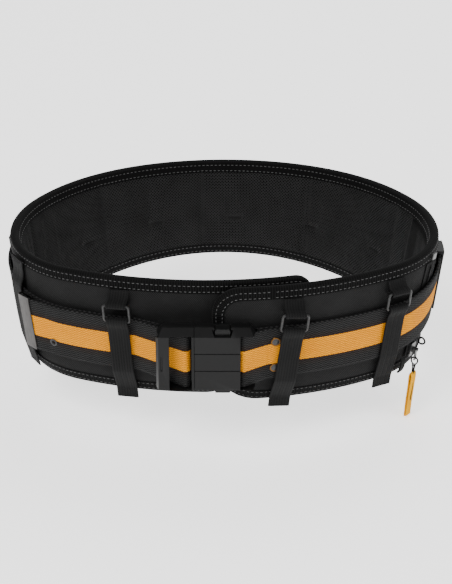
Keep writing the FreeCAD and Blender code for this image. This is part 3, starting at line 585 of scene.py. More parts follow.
# first colour is painted shade between the ribs, second painted highlight on them
loop_cloth = herringbone("loop_cloth", grey(0.0010), grey(0.017))
tag_cloth = herringbone("tag_cloth", (0.50, 0.17, 0.0, 1), (1.0, 0.52, 0.0, 1), 2.4, 1.3, 0.25)
grey_thread = thread("grey_thread", grey(0.05), grey(0.20))
black_thread = thread("black_thread", grey(0.001), grey(0.010))
black_cord = thread("black_cord", grey(0.001), grey(0.014), 1.1)
buckle_plastic = moulded("buckle_plastic", 0.0055, 0.40)
button_plastic = moulded("button_plastic", 0.0070, 0.32)
keeper_plastic = moulded("keeper_plastic", 0.0016, 0.42)
coil_plastic = moulded("coil_plastic", 0.006, 0.28, 0.02)
tip_metal = metal("tip_metal", (0.028, 0.026, 0.025, 1), (0.085, 0.080, 0.077, 1), 0.36,
                  (1, 1, 0.04))
# orange metal for the rivets' rims: a painted reflection of the webbing's orange stripe on dark metal
reflected_orange_metal = metal("reflected_orange_metal", (0.035, 0.016, 0.004, 1), (0.20, 0.095, 0.025, 1), 0.34)
black_metal = metal("black_metal", grey(0.012), grey(0.05), 0.34, metallic=0.6)
zip_metal = metal("zip_metal", grey(0.02), grey(0.10), 0.30, metallic=0.8)
steel = metal("steel", grey(0.30), grey(0.55), 0.28, (1, 1, 0.05))
floor_maker = Maker("floor_paint")
floor_maker.shader.inputs["Emission Color"].default_value = (1, 1, 1, 1)
floor_maker.shader.inputs["Emission Strength"].default_value = 1.3
floor_paint = floor_maker.finish(grey(0.95), 0.9, Specular_IOR_Level=0.0)


# ============================== the pad's outline, unrolled =================================
def rounded(points, radii, pieces=9):
    """Open line through the corners, each turned by an arc of its radius."""
    out = [Vector(points[0])]
    for before, corner, after, r in zip(points, points[1:], points[2:], radii):
        corner = Vector(corner)
        a, b = (Vector(before) - corner).normalized(), (Vector(after) - corner).normalized()
        half = (math.pi - a.angle(b)) / 2
        centre = corner + (a + b).normalized() * (r / math.cos(half))
        start, end = corner + a * r * math.tan(half), corner + b * r * math.tan(half)
        for k in range(pieces + 1):
            p = start.lerp(end, k / pieces) - centre
            out.append(centre + p.normalized() * r)
    out.append(Vector(points[-1]))
    return out


def right_s(x):
    return distance_at(right_angle_at(x))


def left_s(x):
    return distance_at(left_angle_at(x))


END_RUN = 48.0
HALF = PAD_HEIGHT / 2
right_line = [(right_s(p.x), p.y) for p in rounded(
    [(RIGHT_END_X + END_RUN, HALF), (RIGHT_END_X, HALF), (RIGHT_END_X, -HALF),
     (RIGHT_END_X + END_RUN, -HALF)], RIGHT_RADII)]
left_line = [(left_s(p.x), p.y) for p in rounded(
    [(LEFT_END_X[1] - END_RUN, -HALF), (LEFT_END_X[1], -HALF), (LEFT_END_X[0], HALF),
     (LEFT_END_X[1] - END_RUN, HALF)], (LEFT_RADII[1], LEFT_RADII[0]))]


def edge_run(s0, s1, sign, step=4.0):
    """Top (sign 1) or bottom (-1) edge between two distances, ends left out."""
    count = max(2, round(abs(s1 - s0) / step))
    for k in range(1, count):
        s = s0 + (s1 - s0) * k / count
        yield (s, sign * half_height(angle_at(s)))


outline = [Vector(p) for p in
           list(right_line) + list(edge_run(right_line[-1][0], left_line[0][0], -1))
           + list(left_line) + list(edge_run(left_line[-1][0], right_line[0][0], 1))]
OUTLINE_STEP = 2.0
outline = even(outline + outline[:1], OUTLINE_STEP)[:-1]
outline_array = np.array([tuple(p)[:2] for p in outline])


def inward(i):
    """Unit vector into the pad at outline point i."""
    n = len(outline)
    along = (outline[(i + 1) % n] - outline[i - 1]).normalized()
    return Vector((-along.y, along.x))


winding = sum((outline[i - 1].x * outline[i].y - outline[i].x * outline[i - 1].y)
              for i in range(len(outline)))
inward_sign = 1 if winding > 0 else -1


def inset(i, distance):
    """Point of the pad `distance` in from its edge."""
    return outline[i] + inward(i) * inward_sign * distance


def edge_distance(points):
    """Distance from each (s, z) to the outline."""
    best = np.full(len(points), 1e9)
    for start in range(0, len(outline_array), 64):
        part = outline_array[start:start + 64]
        gap = np.linalg.norm(points[:, None, :] - part[None, :, :], axis=2)
        best = np.minimum(best, gap.min(axis=1))
    return best


# ============================== padding: its two faces as height fields =====================
ROWS = 23
S_RIGHT = max(p.x for p in outline)
S_LEFT = min(p.x for p in outline)


def limits(s):
    """Bottom and top of the pad at distance s."""
    top = half_height(angle_at(s))
    low = -top
    for line, tip in ((right_line, S_RIGHT), (left_line, S_LEFT)):
        k = (max if tip > 0 else min)(range(len(line)), key=lambda i: line[i][0])
        if tip > 0:
            flat = [i for i, p in enumerate(line) if p[0] > tip - 1e-6]
            upper, lower = line[:flat[0] + 1], line[flat[-1]:]
        else:
            upper, lower = line[k:], line[:k + 1]
        for part, is_top in ((upper, True), (lower, False)):
            part = sorted(part)
            xs, zs = [p[0] for p in part], [p[1] for p in part]
            inside = s > xs[0] if tip > 0 else s < xs[-1]
            if inside:
                z = float(np.interp(s, xs, zs))
                top, low = (min(top, z), low) if is_top else (top, max(low, z))
    return low, top


def column_places():
    """Distances of the grid's columns, closer together at the rounded ends."""
    middle = np.arange(S_LEFT + 30, S_RIGHT - 30, 4.6)
    t = np.linspace(0, math.pi / 2, 12)
    left = S_LEFT + 0.02 + 29.9 * (1 - np.cos(t))
    right = S_RIGHT - 0.02 - 29.9 * (1 - np.cos(t))
    return np.unique(np.concatenate([left, middle, right]))


columns = column_places()
heights = np.array([limits(s) for s in columns])
shares = np.linspace(0, 1, ROWS)
grid_s = np.repeat(columns[:, None], ROWS, axis=1)
grid_z = heights[:, :1] + (heights[:, 1:] - heights[:, :1]) * shares[None, :]
flat_grid = np.stack([grid_s.ravel(), grid_z.ravel()], axis=1)
to_edge = edge_distance(flat_grid).reshape(grid_s.shape)

seams = [QUILT_START + QUILT_PITCH * k for k in range(-2, 3)]
TACK_PITCH, TACK_START, TACK_Z, TACK_LENGTH = 80.0, 10.0, -10.5, 13.0
tacks = [TACK_START + TACK_PITCH * k for k in range(-3, 4)]
EDGE_PINCH, EDGE_REACH = 2.1, 13.0
SEAM_PINCH, SEAM_REACH = 1.6, 7.0
TACK_PINCH, TACK_REACH = 1.8, 7.0
SEWN_EDGE, SEWN_SEAM, SEWN_TACK = 8.5, 2.4, 2.0
CLOTH_FRAMES = 20


def dip(distance, reach):
    t = np.clip(1 - distance / reach, 0, 1)
    return t * t * (3 - 2 * t)


def tack_distance():
    best = np.full(grid_s.shape, 1e9)
    for s in tacks:
        along = np.maximum(np.abs(grid_s - s) - TACK_LENGTH / 2, 0)
        best = np.minimum(best, np.hypot(along, grid_z - TACK_Z))
    return best


def seam_distance():
    best = np.full(grid_s.shape, 1e9)
    for s in seams:
        best = np.minimum(best, np.abs(grid_s - s))
    return best


pinch = EDGE_PINCH * dip(to_edge, EDGE_REACH)
seam_gap, tack_gap = seam_distance(), tack_distance()
outer_out = -np.maximum(pinch, SEAM_PINCH * dip(seam_gap, SEAM_REACH))
inner_out = -PAD_THICKNESS + np.maximum(
    np.maximum(pinch, SEAM_PINCH * dip(seam_gap, SEAM_REACH)), TACK_PINCH * dip(tack_gap, TACK_REACH))
angles = np.array([angle_at(s) for s in columns])


def face_points(out):
    return [[place(angles[i], out[i, j], grid_z[i, j]) for j in range(ROWS)]
            for i in range(len(columns))]


def rim_faces():
    """Faces that join the rims of two copies of the grid."""
    n, last = ROWS, len(columns) - 1
    half = (last + 1) * n
    ring = [i * n for i in range(last + 1)] + [last * n + j for j in range(1, n)]
    ring += [i * n + n - 1 for i in range(last - 1, -1, -1)] + list(range(n - 2, 0, -1))
    return [[b, a, a + half, b + half] for a, b in zip(ring, ring[1:] + ring[:1])]


def stuffed(outer, inner):
    """The foam swells both faces between edge, seams and tacks: a cloth simulation."""
    shape = Shape()
    us, vs = list(columns), list(shares * 100)
    shape.grid(face_points(outer), us, vs)
    shape.grid(face_points(inner), us, vs, flip=True)
    half = len(columns) * ROWS
    mesh = bpy.data.meshes.new("stuffing")
    mesh.from_pydata([tuple(c * MM for c in p) for p in shape.points], [],
                     shape.faces + rim_faces())
    obj = add_object("stuffing", mesh)
    held = (to_edge < SEWN_EDGE) | (seam_gap < SEWN_SEAM)
    held_inner = held | (tack_gap < SEWN_TACK)
    pins = obj.vertex_groups.new(name="sewn")
    pins.add([int(k) for k in np.flatnonzero(held.ravel())], 1.0, "REPLACE")
    pins.add([int(k) + half for k in np.flatnonzero(held_inner.ravel())], 1.0, "REPLACE")
    cloth = obj.modifiers.new("cloth", "CLOTH")
    cloth.settings.vertex_group_mass = "sewn"
    cloth.settings.quality = 5
    cloth.settings.mass = 0.2
    cloth.settings.tension_stiffness = cloth.settings.compression_stiffness = 9.0
    cloth.settings.bending_stiffness = 0.4
    cloth.settings.use_pressure = True
    cloth.settings.uniform_pressure_force = 4.0
    cloth.settings.effector_weights.gravity = 0.0
    cloth.collision_settings.use_collision = False
    scene = bpy.context.scene
    for step in range(1, CLOTH_FRAMES + 1):
        scene.frame_set(step)
    shown = obj.evaluated_get(bpy.context.evaluated_depsgraph_get())
    after = np.empty(len(mesh.vertices) * 3, np.float32)
    shown.data.vertices.foreach_get("co", after)
    before = np.empty_like(after)
    mesh.vertices.foreach_get("co", before)
    move = ((after - before) / MM).reshape(2, len(columns), ROWS, 3)
    scene.frame_set(1)
    bpy.data.objects.remove(obj)
    facing = np.array([tuple(normal(a)) for a in angles])
    swell = np.einsum("fijk,ik->fij", move, facing)
    return swell


OUTER_CAP, INNER_CAP, SWELL_REACH = 1.3, 3.2, 22.0
moved = stuffed(outer_out, inner_out)
swell_outer = OUTER_CAP * np.tanh(moved[0] / OUTER_CAP)
swell_inner = INNER_CAP * np.tanh(moved[1] / INNER_CAP)
outer_out = outer_out + swell_outer
inner_out = inner_out + swell_inner


def sample(field, s, z):
    """A face's height at (s, z), between the grid's points."""
    low = np.interp(s, columns, heights[:, 0])
    high = np.interp(s, columns, heights[:, 1])
    i = np.interp(s, columns, np.arange(len(columns)))
    j = np.clip((z - low) / np.maximum(high - low, 0.5), 0, 1) * (ROWS - 1)
    i0 = np.clip(np.floor(i).astype(int), 0, len(columns) - 2)
    j0 = np.clip(np.floor(j).astype(int), 0, ROWS - 2)
    a, b = i - i0, j - j0
    return ((field[i0, j0] * (1 - a) + field[i0 + 1, j0] * a) * (1 - b)
            + (field[i0, j0 + 1] * (1 - a) + field[i0 + 1, j0 + 1] * a) * b)


def on_inner(s, z, out=0.0):
    return place(angle_at(s), float(sample(inner_out, s, z)) - out, z)


# ============================== the pad's pieces ============================================
def make_pad_body():
    """Outer cover and the padding's back as one closed, crowned skin."""
    shape = Shape()
    us, vs = list(columns), list(np.linspace(0, PAD_HEIGHT, ROWS))
    shape.grid(face_points(outer_out), us, vs)
    shape.grid(face_points(inner_out + MESH_DEPTH + 0.15), us, vs, flip=True)
    for corners in rim_faces():
        shape.face(corners, [(0, 0), (1, 0), (1, 1), (0, 1)])
    obj = shape.build("pad_body", [cover_cloth])
    smooth = obj.modifiers.new("round", "SUBSURF")
    smooth.levels = smooth.render_levels = 1
    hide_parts("cover_right", "cover_left",
                *[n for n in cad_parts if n.startswith("foam_")])
    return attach(obj, "root")


MESH_DEPTH = 0.8
HOLE_ALONG, HOLE_UP, HOLE_SHARE = 1.55, 1.8, 0.84
MESH_MARGIN, PLAIN_MARGIN = 3, 8.0    # edge of the mesh and first holes, in from the pad's edge


def make_air_mesh(name, node, s0, s1):
    """Spacer mesh with a staggered hole in every other cell of a fine grid."""
    count = round((s1 - s0) / HOLE_ALONG)
    ss = np.linspace(s0, s1, count + 1)
    rows = round((PAD_HEIGHT - 8) / HOLE_UP)
    low = np.interp(ss, columns, heights[:, 0])
    high = np.interp(ss, columns, heights[:, 1])
    share = np.linspace(0, 1, rows + 1)
    zz = low[:, None] + MESH_MARGIN + (high - low - 2 * MESH_MARGIN)[:, None] * share[None, :]
    out = sample(inner_out, np.repeat(ss[:, None], rows + 1, axis=1), zz)
    spots = [[place(angle_at(ss[i]), out[i, j], zz[i, j]) for j in range(rows + 1)]
             for i in range(count + 1)]
    shape = Shape()
    n = rows + 1
    for row in spots:
        shape.points.extend(row)
    for i in range(count):
        facing = normal(angle_at(ss[i]))
        for j in range(rows):
            face = [i * n + j, (i + 1) * n + j, (i + 1) * n + j + 1, i * n + j + 1]
            uv = [(ss[i], zz[i, j]), (ss[i + 1], zz[i, j]), (ss[i + 1], zz[i, j + 1]),
                  (ss[i], zz[i, j + 1])]
            if (i + j) % 2 or min(zz[i, j] - low[i], high[i] - zz[i, j]) < PLAIN_MARGIN:
                shape.face(face, uv)
                continue
            middle = sum((shape.points[k] for k in face), Vector()) / 4
            base = len(shape.points)
            for k in face:
                shape.points.append(middle.lerp(shape.points[k], HOLE_SHARE) + facing * MESH_DEPTH)
            for k in range(4):
                a, b = k, (k + 1) % 4
                shape.face([face[a], face[b], base + b, base + a], [uv[a], uv[b], uv[b], uv[a]])
            # the hole's bottom is a near-black sheet: painted shade for the hole's depth
            shape.face([base, base + 1, base + 2, base + 3], uv, 1)
    obj = shape.build(name, [mesh_cloth, hole_shade], 80)
    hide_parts(node)
    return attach(obj, "root")


TAPE_WIDTH, TAPE_THICK = 9.4, 0.75


def tape_profile():
    """(distance in from the edge, share from outer face to inner face, stand-off)."""
    points = [(TAPE_WIDTH, 0.0, -0.3), (TAPE_WIDTH - 0.15, 0.0, TAPE_THICK)]
    points += [(TAPE_WIDTH * k / 6, 0.0, TAPE_THICK) for k in range(5, 0, -1)]
    points += [(0.3, 0.0, TAPE_THICK), (-0.5, 0.12, TAPE_THICK * 0.5), (-0.95, 0.32, 0.0),
               (-1.1, 0.5, 0.0), (-0.95, 0.68, 0.0), (-0.5, 0.88, TAPE_THICK * 0.5),
               (0.3, 1.0, TAPE_THICK)]
    points += [(TAPE_WIDTH * k / 6, 1.0, TAPE_THICK) for k in range(1, 6)]
    points += [(TAPE_WIDTH - 0.15, 1.0, TAPE_THICK), (TAPE_WIDTH, 1.0, -0.3)]
    return points


def tape_point(i, distance, share, stand):
    p = inset(i, distance)
    q = inset(i, max(distance, 0.5))
    outer = float(sample(outer_out, q.x, q.y)) + stand
    inner = float(sample(inner_out, q.x, q.y)) - stand
    return place(angle_at(p.x), outer + (inner - outer) * share, p.y)


def make_binding(name, node, first, last):
    """Grosgrain tape folded over the pad's edge."""
    profile = tape_profile()
    shape = Shape()
    rows = []
    n = len(outline)
    count = (last - first) % n
    for k in range(count + 1):
        rows.append([tape_point((first + k) % n, *p) for p in profile])
    us = [OUTLINE_STEP * k for k in range(count + 1)]
    shape.grid(rows, us, [1.2 * k for k in range(len(profile))])
    for face in range(len(shape.faces)):
        for c in range(4):
            u, v = shape.cloth[face * 4 + c]
            shape.cloth[face * 4 + c] = (v, u)
    obj = shape.build(name, [tape_cloth], 70)
    thicken(obj, 0.5)
    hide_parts(node)
    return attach(obj, "root")


# ============================== sewing ======================================================
def capsule(length, width, height, sides=6):
    """Template of one stitch: x along the seam, z out of the cloth."""
    rings = [(-0.5, 0.0), (-0.42, 0.6), (-0.2, 1.0), (0.2, 1.0), (0.42, 0.6), (0.5, 0.0)]
    points, faces = [], []
    for t, size in rings[1:-1]:
        for k in range(sides):
            a = 2 * math.pi * k / sides
            points.append((t * length, math.cos(a) * width / 2 * size,
                           math.sin(a) * height / 2 * size + height * 0.3 * (size - 0.6)))
    for r in range(len(rings) - 3):
        for k in range(sides):
            faces.append([r * sides + k, r * sides + (k + 1) % sides,
                          (r + 1) * sides + (k + 1) % sides, (r + 1) * sides + k])
    faces.append(list(reversed(range(sides))))
    faces.append([(len(rings) - 3) * sides + k for k in range(sides)])
    return points, faces


def sew(shape, spots, length=2.5, width=0.5, height=0.45):
    """Puts a stitch at each (place, along, outward)."""
    points, faces = capsule(length, width, height)
    for spot, along, outward in spots:
        across = outward.cross(along).normalized()
        tilt = rng.uniform(-0.07, 0.07)
        along2 = along * math.cos(tilt) + across * math.sin(tilt)
        across2 = outward.cross(along2).normalized()
        base = len(shape.points)
        for x, y, z in points:
            shape.points.append(spot + along2 * x + across2 * y + outward * z)
        for f in faces:
            shape.face([base + k for k in f], [points[k][:2] for k in f])


def seam_spots(line, pitch):
    """Places, directions and outward vectors every `pitch` along (point, outward) pairs."""
    at = running([p for p, _ in line])
    count = max(1, int(at[-1] / pitch))
    spots = []
    k = 0
    for c in range(count):
        want = pitch * (c + 0.5)
        while k < len(at) - 2 and at[k + 1] < want:
            k += 1
        t = (want - at[k]) / max(at[k + 1] - at[k], 1e-9)
        (a, na), (b, nb) = line[k], line[k + 1]
        spots.append((a.lerp(b, t), (b - a).normalized(), na.lerp(nb, t).normalized()))
    return spots


STITCH_PITCH = 4.0
STITCH_ROWS = (2.4, 7.6)


def make_edge_stitching():
    shape = Shape()
    n = len(outline)
    for distance in STITCH_ROWS:
        for side, share in ((1, 0.0), (-1, 1.0)):
            line = []
            for i in list(range(n)) + [0]:
                p = tape_point(i, distance, share, TAPE_THICK + 0.1)
                line.append((p, normal(angle_at(inset(i, distance).x)) * side))
            sew(shape, seam_spots(line, STITCH_PITCH))
    obj = shape.build("edge_stitching", [grey_thread])
    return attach(obj, "root")


def make_bar_tacks():
    """Dense bars of thread that hold lining and loops to the pad."""
    shape = Shape()
    for s in tacks:
        for k in range(int(TACK_LENGTH / 0.8)):
            here = s - TACK_LENGTH / 2 + 0.8 * k
            p = on_inner(here, TACK_Z, 0.15)
            outward = -normal(angle_at(here))
            sew(shape, [(p, Vector((0, 0, 1)), outward)], 2.6, 0.7, 0.7)
    obj = shape.build("lining_bar_tacks", [black_thread])
    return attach(obj, "root")


FACING_ANGLES = (22, -26)


def make_facing():
    """Smooth panel sewn inside the right hip, turned in and stitched round."""
    s0, s1 = (distance_at(a) for a in FACING_ANGLES)
    edge = TAPE_WIDTH + 1.0
    wide, high = 34, 24
    rows = []
    for i in range(wide + 1):
        s = s0 + (s1 - s0) * i / wide
        half = half_height(angle_at(s)) - edge
        row = []
        for j in range(high + 1):
            z = -half + 2 * half * j / high
            rim = min(i, wide - i, j, high - j)
            lift = 1.15 + 0.35 * noise.noise(Vector((s * 0.03, z * 0.05, 3))) * min(rim, 4) / 4
            row.append(on_inner(s, z, lift if rim else 0.2))
        rows.append(row)
    shape = Shape()
    shape.grid(rows, [s1 - s0 + (s0 - s1) * i / wide for i in range(wide + 1)],
               [2 * HALF * j / high for j in range(high + 1)], flip=True)
    obj = shape.build("hip_facing", [facing_cloth], 70)
    thicken(obj, 0.6)
    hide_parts("inner_facing")
    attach(obj, "root")
    stitches = Shape()
    inset_s = 2.5
    line = []
    for s, z in rectangle(s0 + inset_s, s1 - inset_s, edge + inset_s):
        line.append((on_inner(s, z, 1.25), -normal(angle_at(s))))
    sew(stitches, seam_spots(line, 3.4), 2.2, 0.5, 0.4)
    thread_obj = stitches.build("facing_stitching", [black_thread])
    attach(thread_obj, "root")


def rectangle(s0, s1, edge, step=4.0):
    """(s, z) round a panel's rim, `edge` in from the pad's top and bottom."""
    def high(s):
        return half_height(angle_at(s)) - edge
    count = int((s1 - s0) / step)
    across = [s0 + (s1 - s0) * k / count for k in range(count + 1)]
    ladder = [k / 20 for k in range(1, 20)]
    for s in across:
        yield s, high(s)
    for t in ladder:
        yield s1, high(s1) * (1 - 2 * t)
    for s in reversed(across):
        yield s, -high(s)
    for t in ladder:
        yield s0, -high(s0) * (1 - 2 * t)
    yield s0, high(s0)


make_pad_body()
make_air_mesh("air_mesh_right", "lining_right", 0.0, S_RIGHT - 3)
make_air_mesh("air_mesh_left", "lining_left", S_LEFT + 3, 0.0)
top_i = min((i for i, p in enumerate(outline) if p.y > 0), key=lambda i: abs(outline[i].x))
low_i = min((i for i, p in enumerate(outline) if p.y < 0), key=lambda i: abs(outline[i].x))
if outline[(low_i + 20) % len(outline)].x < 0:
    make_binding("tape_left", "binding_left", low_i, top_i)
    make_binding("tape_right", "binding_right", top_i, low_i)
else:
    make_binding("tape_right", "binding_right", low_i, top_i)
    make_binding("tape_left", "binding_left", top_i, low_i)
make_edge_stitching()
make_bar_tacks()
make_facing()


# ============================== webbing =====================================================
WEB_IN = WEBBING_STANDOFF
WEB_OUT = WEB_IN + WEBBING_THICK
OVER_IN = WEB_OUT + LAYER_GAP
OVER_OUT = OVER_IN + WEBBING_THICK
TIP_IN = OVER_OUT + 0.6
TIP_ANGLE, TIP_FLAT, TAIL_RAMP = 219.0, 8.5, 8.0
SOCKET_LEG_X, PLUG_LEG_X, FLAP_X = 36.5, -76.0, 57.0
PICK = 1.1


def mid_of(node):
    low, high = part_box(node)
    return (low + high) / 2 / MM


socket_bar, plug_bar = mid_of("socket_bar"), mid_of("plug_bar")
WRAP_INSIDE = 3.0
WRAP_RADIUS = WRAP_INSIDE + WEBBING_THICK / 2  # middle of the webbing round a bar
WEB_COLUMNS = 24
RIB_DEPTH, FACE_SINK = 0.13, 0.12
BEAD_DEPTH, BEAD_WIDTH = 0.18, 3.2             # thick band along each edge
EDGE_ROUND, EDGE_WIDTH, PICK_PULL = 0.55, 0.5, 0.35


class Station:
    """A cross-section: a line z -> base + rise z, and the outward direction."""

    def __init__(self, base, rise, out):
        self.base, self.rise, self.out = Vector(base), Vector(rise), Vector(out).normalized()

    def toward(self, other, t):
        return Station(self.base.lerp(other.base, t), self.rise.lerp(other.rise, t),
                       self.out.lerp(other.out, t))

    def at(self, z, out=0.0):
        return self.base + self.rise * z + self.out * out


def on_pad(angle, out):
    base = place(angle, out, 0)
    return Station(base, place(angle, out, 1) - base, normal(angle))


def pad_run(a0, a1, out0, out1=None):
    """Stations along the pad from one angle to another."""
    out1 = out0 if out1 is None else out1
    length = abs(distance_at(a1) - distance_at(a0))
    count = max(2, round(length / PICK))
    return [on_pad(a0 + (a1 - a0) * k / count, out0 + (out1 - out0) * k / count)
            for k in range(count + 1)]


def leg_run(first, last):
    """A straight stretch between two stations."""
    count = max(2, round((last.base - first.base).length / PICK))
    return [first.toward(last, k / count) for k in range(count + 1)]


def bar_run(bar, start, end):
    """Round a bar between two directions, degrees in plan, in the sense given."""
    count = max(6, round(abs(math.radians(end - start)) * WRAP_RADIUS / PICK))
    out = []
    for k in range(count + 1):
        d = normal(start + (end - start) * k / count)
        out.append(Station(Vector((bar.x, bar.y, 0)) + d * WRAP_RADIUS, (0, 0, 1), d))
    return out


def webbing_piece(name, runs):
    """One strap of webbing through the stations: ribbed faces, thick beaded edges."""
    stations = [st for r in runs for st in r]
    kept = [stations[0]]
    for st in stations[1:]:
        if (st.base - kept[-1].base).length > 0.35 * PICK:
            kept.append(st)
    stations = kept
    count = WEB_COLUMNS
    zs = [WEBBING_WIDTH * (k / count - 0.5) for k in range(count + 1)]
    rows, us = [], []
    at = running([st.base for st in stations])
    for i, st in enumerate(stations):
        zc = webbing_height(st.base.y)
        front, back = [], []
        for j, z in enumerate(zs):
            edge = WEBBING_WIDTH / 2 - abs(z)
            rib = RIB_DEPTH * (-1) ** (i + j)
            bead = BEAD_DEPTH if edge < BEAD_WIDTH else 0.0
            round_off = EDGE_ROUND if edge < EDGE_WIDTH else 0.0
            half = WEBBING_THICK / 2 - FACE_SINK + rib * 0.5 + bead - round_off
            pull = PICK_PULL if i % 2 and edge < EDGE_WIDTH else 0.0
            z_here = zc + z - math.copysign(pull, z)
            front.append(st.at(z_here, half))
            back.append(st.at(z_here, -half))
        rows.append(front + back[::-1])
        us.append(at[i])
    vs = zs + zs[::-1] + [zs[0]]
    shape = Shape()
    n = len(rows[0])
    shape.grid(rows, us, vs, True)
    for ring, flip in ((0, True), (len(rows) - 1, False)):
        base = ring * n
        for j in range(count):
            face = [base + j, base + j + 1, base + n - 2 - j, base + n - 1 - j]
            shape.face(face[::-1] if flip else face,
                       [(0, zs[j]), (0, zs[j + 1]), (2, zs[j + 1]), (2, zs[j])])
    obj = shape.build(name, [web_cloth], 60)
    return obj


def half_thick(out_in):
    return out_in + WEBBING_THICK / 2


MAIN_MID, OVER_MID, TIP_MID = half_thick(WEB_IN), half_thick(OVER_IN), half_thick(TIP_IN)
right_leg, left_leg = right_angle_at(SOCKET_LEG_X), left_angle_at(PLUG_LEG_X)
LEFT_SPLIT_X, RIGHT_SPLIT_X = -88.0, 52.0
left_split, right_split = left_angle_at(LEFT_SPLIT_X), right_angle_at(RIGHT_SPLIT_X)


def make_webbing():
    belt = webbing_piece("webbing_belt", [pad_run(right_split, left_split, MAIN_MID)])
    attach(belt, "root")
    # the right end: in behind the socket, round its bar and back over itself to the rivets
    inner = [pad_run(right_split - 0.01, right_leg, MAIN_MID)]
    inner.append(leg_run(on_pad(right_leg, MAIN_MID), bar_run(socket_bar, 90, 91)[0]))
    turn_round = bar_run(socket_bar, 90, 270)
    outer = [leg_run(bar_run(socket_bar, 270, 271)[0], on_pad(right_leg, OVER_MID))]
    outer.append(pad_run(right_leg, right_angle_at(FLAP_X), OVER_MID))
    fold = webbing_piece("webbing_fold", facing_out(inner, turn_round, outer))
    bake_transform(fold)
    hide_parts("webbing_main")
    # the left end of the same strap, up to the plug's bar, and its free end over it
    under = webbing_piece("webbing_under_plug", [
        pad_run(left_split, left_leg, MAIN_MID),
        leg_run(on_pad(left_leg, MAIN_MID), bar_run(plug_bar, 90, 91)[0])])
    turn_left = bar_run(plug_bar, 90, -90)
    tail_end = TIP_ANGLE + TIP_FLAT
    tail = webbing_piece("webbing_free_end", facing_out(
        [], turn_left,
        [leg_run(bar_run(plug_bar, -90, -91)[0], on_pad(left_leg, OVER_MID)),
         pad_run(left_leg, tail_end + TAIL_RAMP, OVER_MID),
         pad_run(tail_end + TAIL_RAMP, tail_end, OVER_MID, TIP_MID),
         pad_run(tail_end, TIP_ANGLE, TIP_MID)]))
    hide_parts("webbing_tail")
    for piece in (under, tail):
        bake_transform(piece)


def facing_out(inner, turn_round, outer):
    """One strap turned back on itself: its face away from the bar stays the same face."""
    before = [[Station(st.base, st.rise, -st.out) for st in r] for r in inner]
    return before + [turn_round] + outer


make_webbing()


# ============================== metal on the webbing ========================================
def turned_rows(matrix, profile, sides):
    """Rings at (radius, height) points; height runs outward along local -y."""
    return [[matrix @ Vector((radius * math.cos(t), -height, radius * math.sin(t)))
             for t in round_angles(sides)] for radius, height in profile]


def lathe(shape, matrix, profile, sides=28, slots=None):
    """Closed turning of (radius, height) points."""
    rows = turned_rows(matrix, profile, sides)
    us = running([Vector((r, h, 0)) for r, h in profile])
    base_face = len(shape.faces)
    shape.tube(rows, us, list(range(sides + 1)))
    if slots:
        for r in range(len(profile) - 1):
            for k in range(sides):
                shape.slots[base_face + r * sides + k] = slots[r]
        shape.slots[-2 * sides:-sides] = [slots[0]] * sides
        shape.slots[-sides:] = [slots[-1]] * sides


RIVET_X, RIVET_SPREAD, RIVET_HEAD = 42.5, 13.5, 4.4


def make_rivets():
    shape = Shape()
    angle = right_angle_at(RIVET_X)
    middle = webbing_height(place(angle, 0, 0).y)
    front = OVER_OUT + 0.25
    for sign in (1, -1):
        m = pad_frame(angle, 0, middle + sign * RIVET_SPREAD)
        profile = [(0.8, front - 1.5), (RIVET_HEAD - 0.4, front - 1.0), (RIVET_HEAD, front + 0.1),
                   (RIVET_HEAD - 0.25, front + 0.5), (RIVET_HEAD - 0.75, front + 0.62),
                   (RIVET_HEAD - 1.2, front + 0.35), (RIVET_HEAD - 1.5, front + 0.3),
                   (2.2, front + 0.75), (1.2, front + 0.95), (0.3, front + 1.0)]
        # rim in the orange metal, a painted reflection of the webbing stripe; dark centre in the
        # rivet's own black metal
        lathe(shape, m, profile, 28, [0, 0, 0, 0, 0, 1, 1, 1, 1])
        back = WEB_IN - 0.25
        lathe(shape, m, [(0.5, back + 1.2), (RIVET_HEAD - 0.5, back + 0.1), (RIVET_HEAD, back - 0.2),
                         (RIVET_HEAD - 0.5, back - 0.8), (0.5, back - 0.9)], 28, [0, 0, 0, 0])
    obj = shape.build("rivet_pair", [reflected_orange_metal, black_metal], 50)
    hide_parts("webbing_rivets")
    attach(obj, "root")


EYELET_ANGLE, EYELET_DROP, EYELET_HOLE = 239.0, 12.5, 2.5


def make_eyelet():
    shape = Shape()
    m = pad_frame(EYELET_ANGLE, OVER_IN, webbing_height(place(EYELET_ANGLE, 0, 0).y) - EYELET_DROP)
    top = WEBBING_THICK + 0.15
    ring = [(EYELET_HOLE - 0.5, 0.1), (EYELET_HOLE, 0.0), (EYELET_HOLE + 0.1, top - 0.3),
            (EYELET_HOLE + 1.1, top - 0.1), (EYELET_HOLE + 1.1, top + 0.25),
            (EYELET_HOLE + 0.6, top + 0.5), (EYELET_HOLE - 0.1, top + 0.45),
            (EYELET_HOLE - 0.5, top + 0.1)]
    sides = 28
    rows = turned_rows(m, ring, sides)
    shape.grid(rows + [rows[0]], list(range(len(ring) + 1)), list(range(sides + 1)), True)
    # a near-black disc in the hole: painted shade
    lathe(shape, m, [(0.4, 0.05), (EYELET_HOLE - 0.55, 0.05), (EYELET_HOLE - 0.55, 0.35), (0.4, 0.4)],
          20, [1, 1, 1])
    obj = shape.build("eyelet", [black_metal, hole_shade], 50)
    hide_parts("tail_eyelet")
    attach(obj, "root")


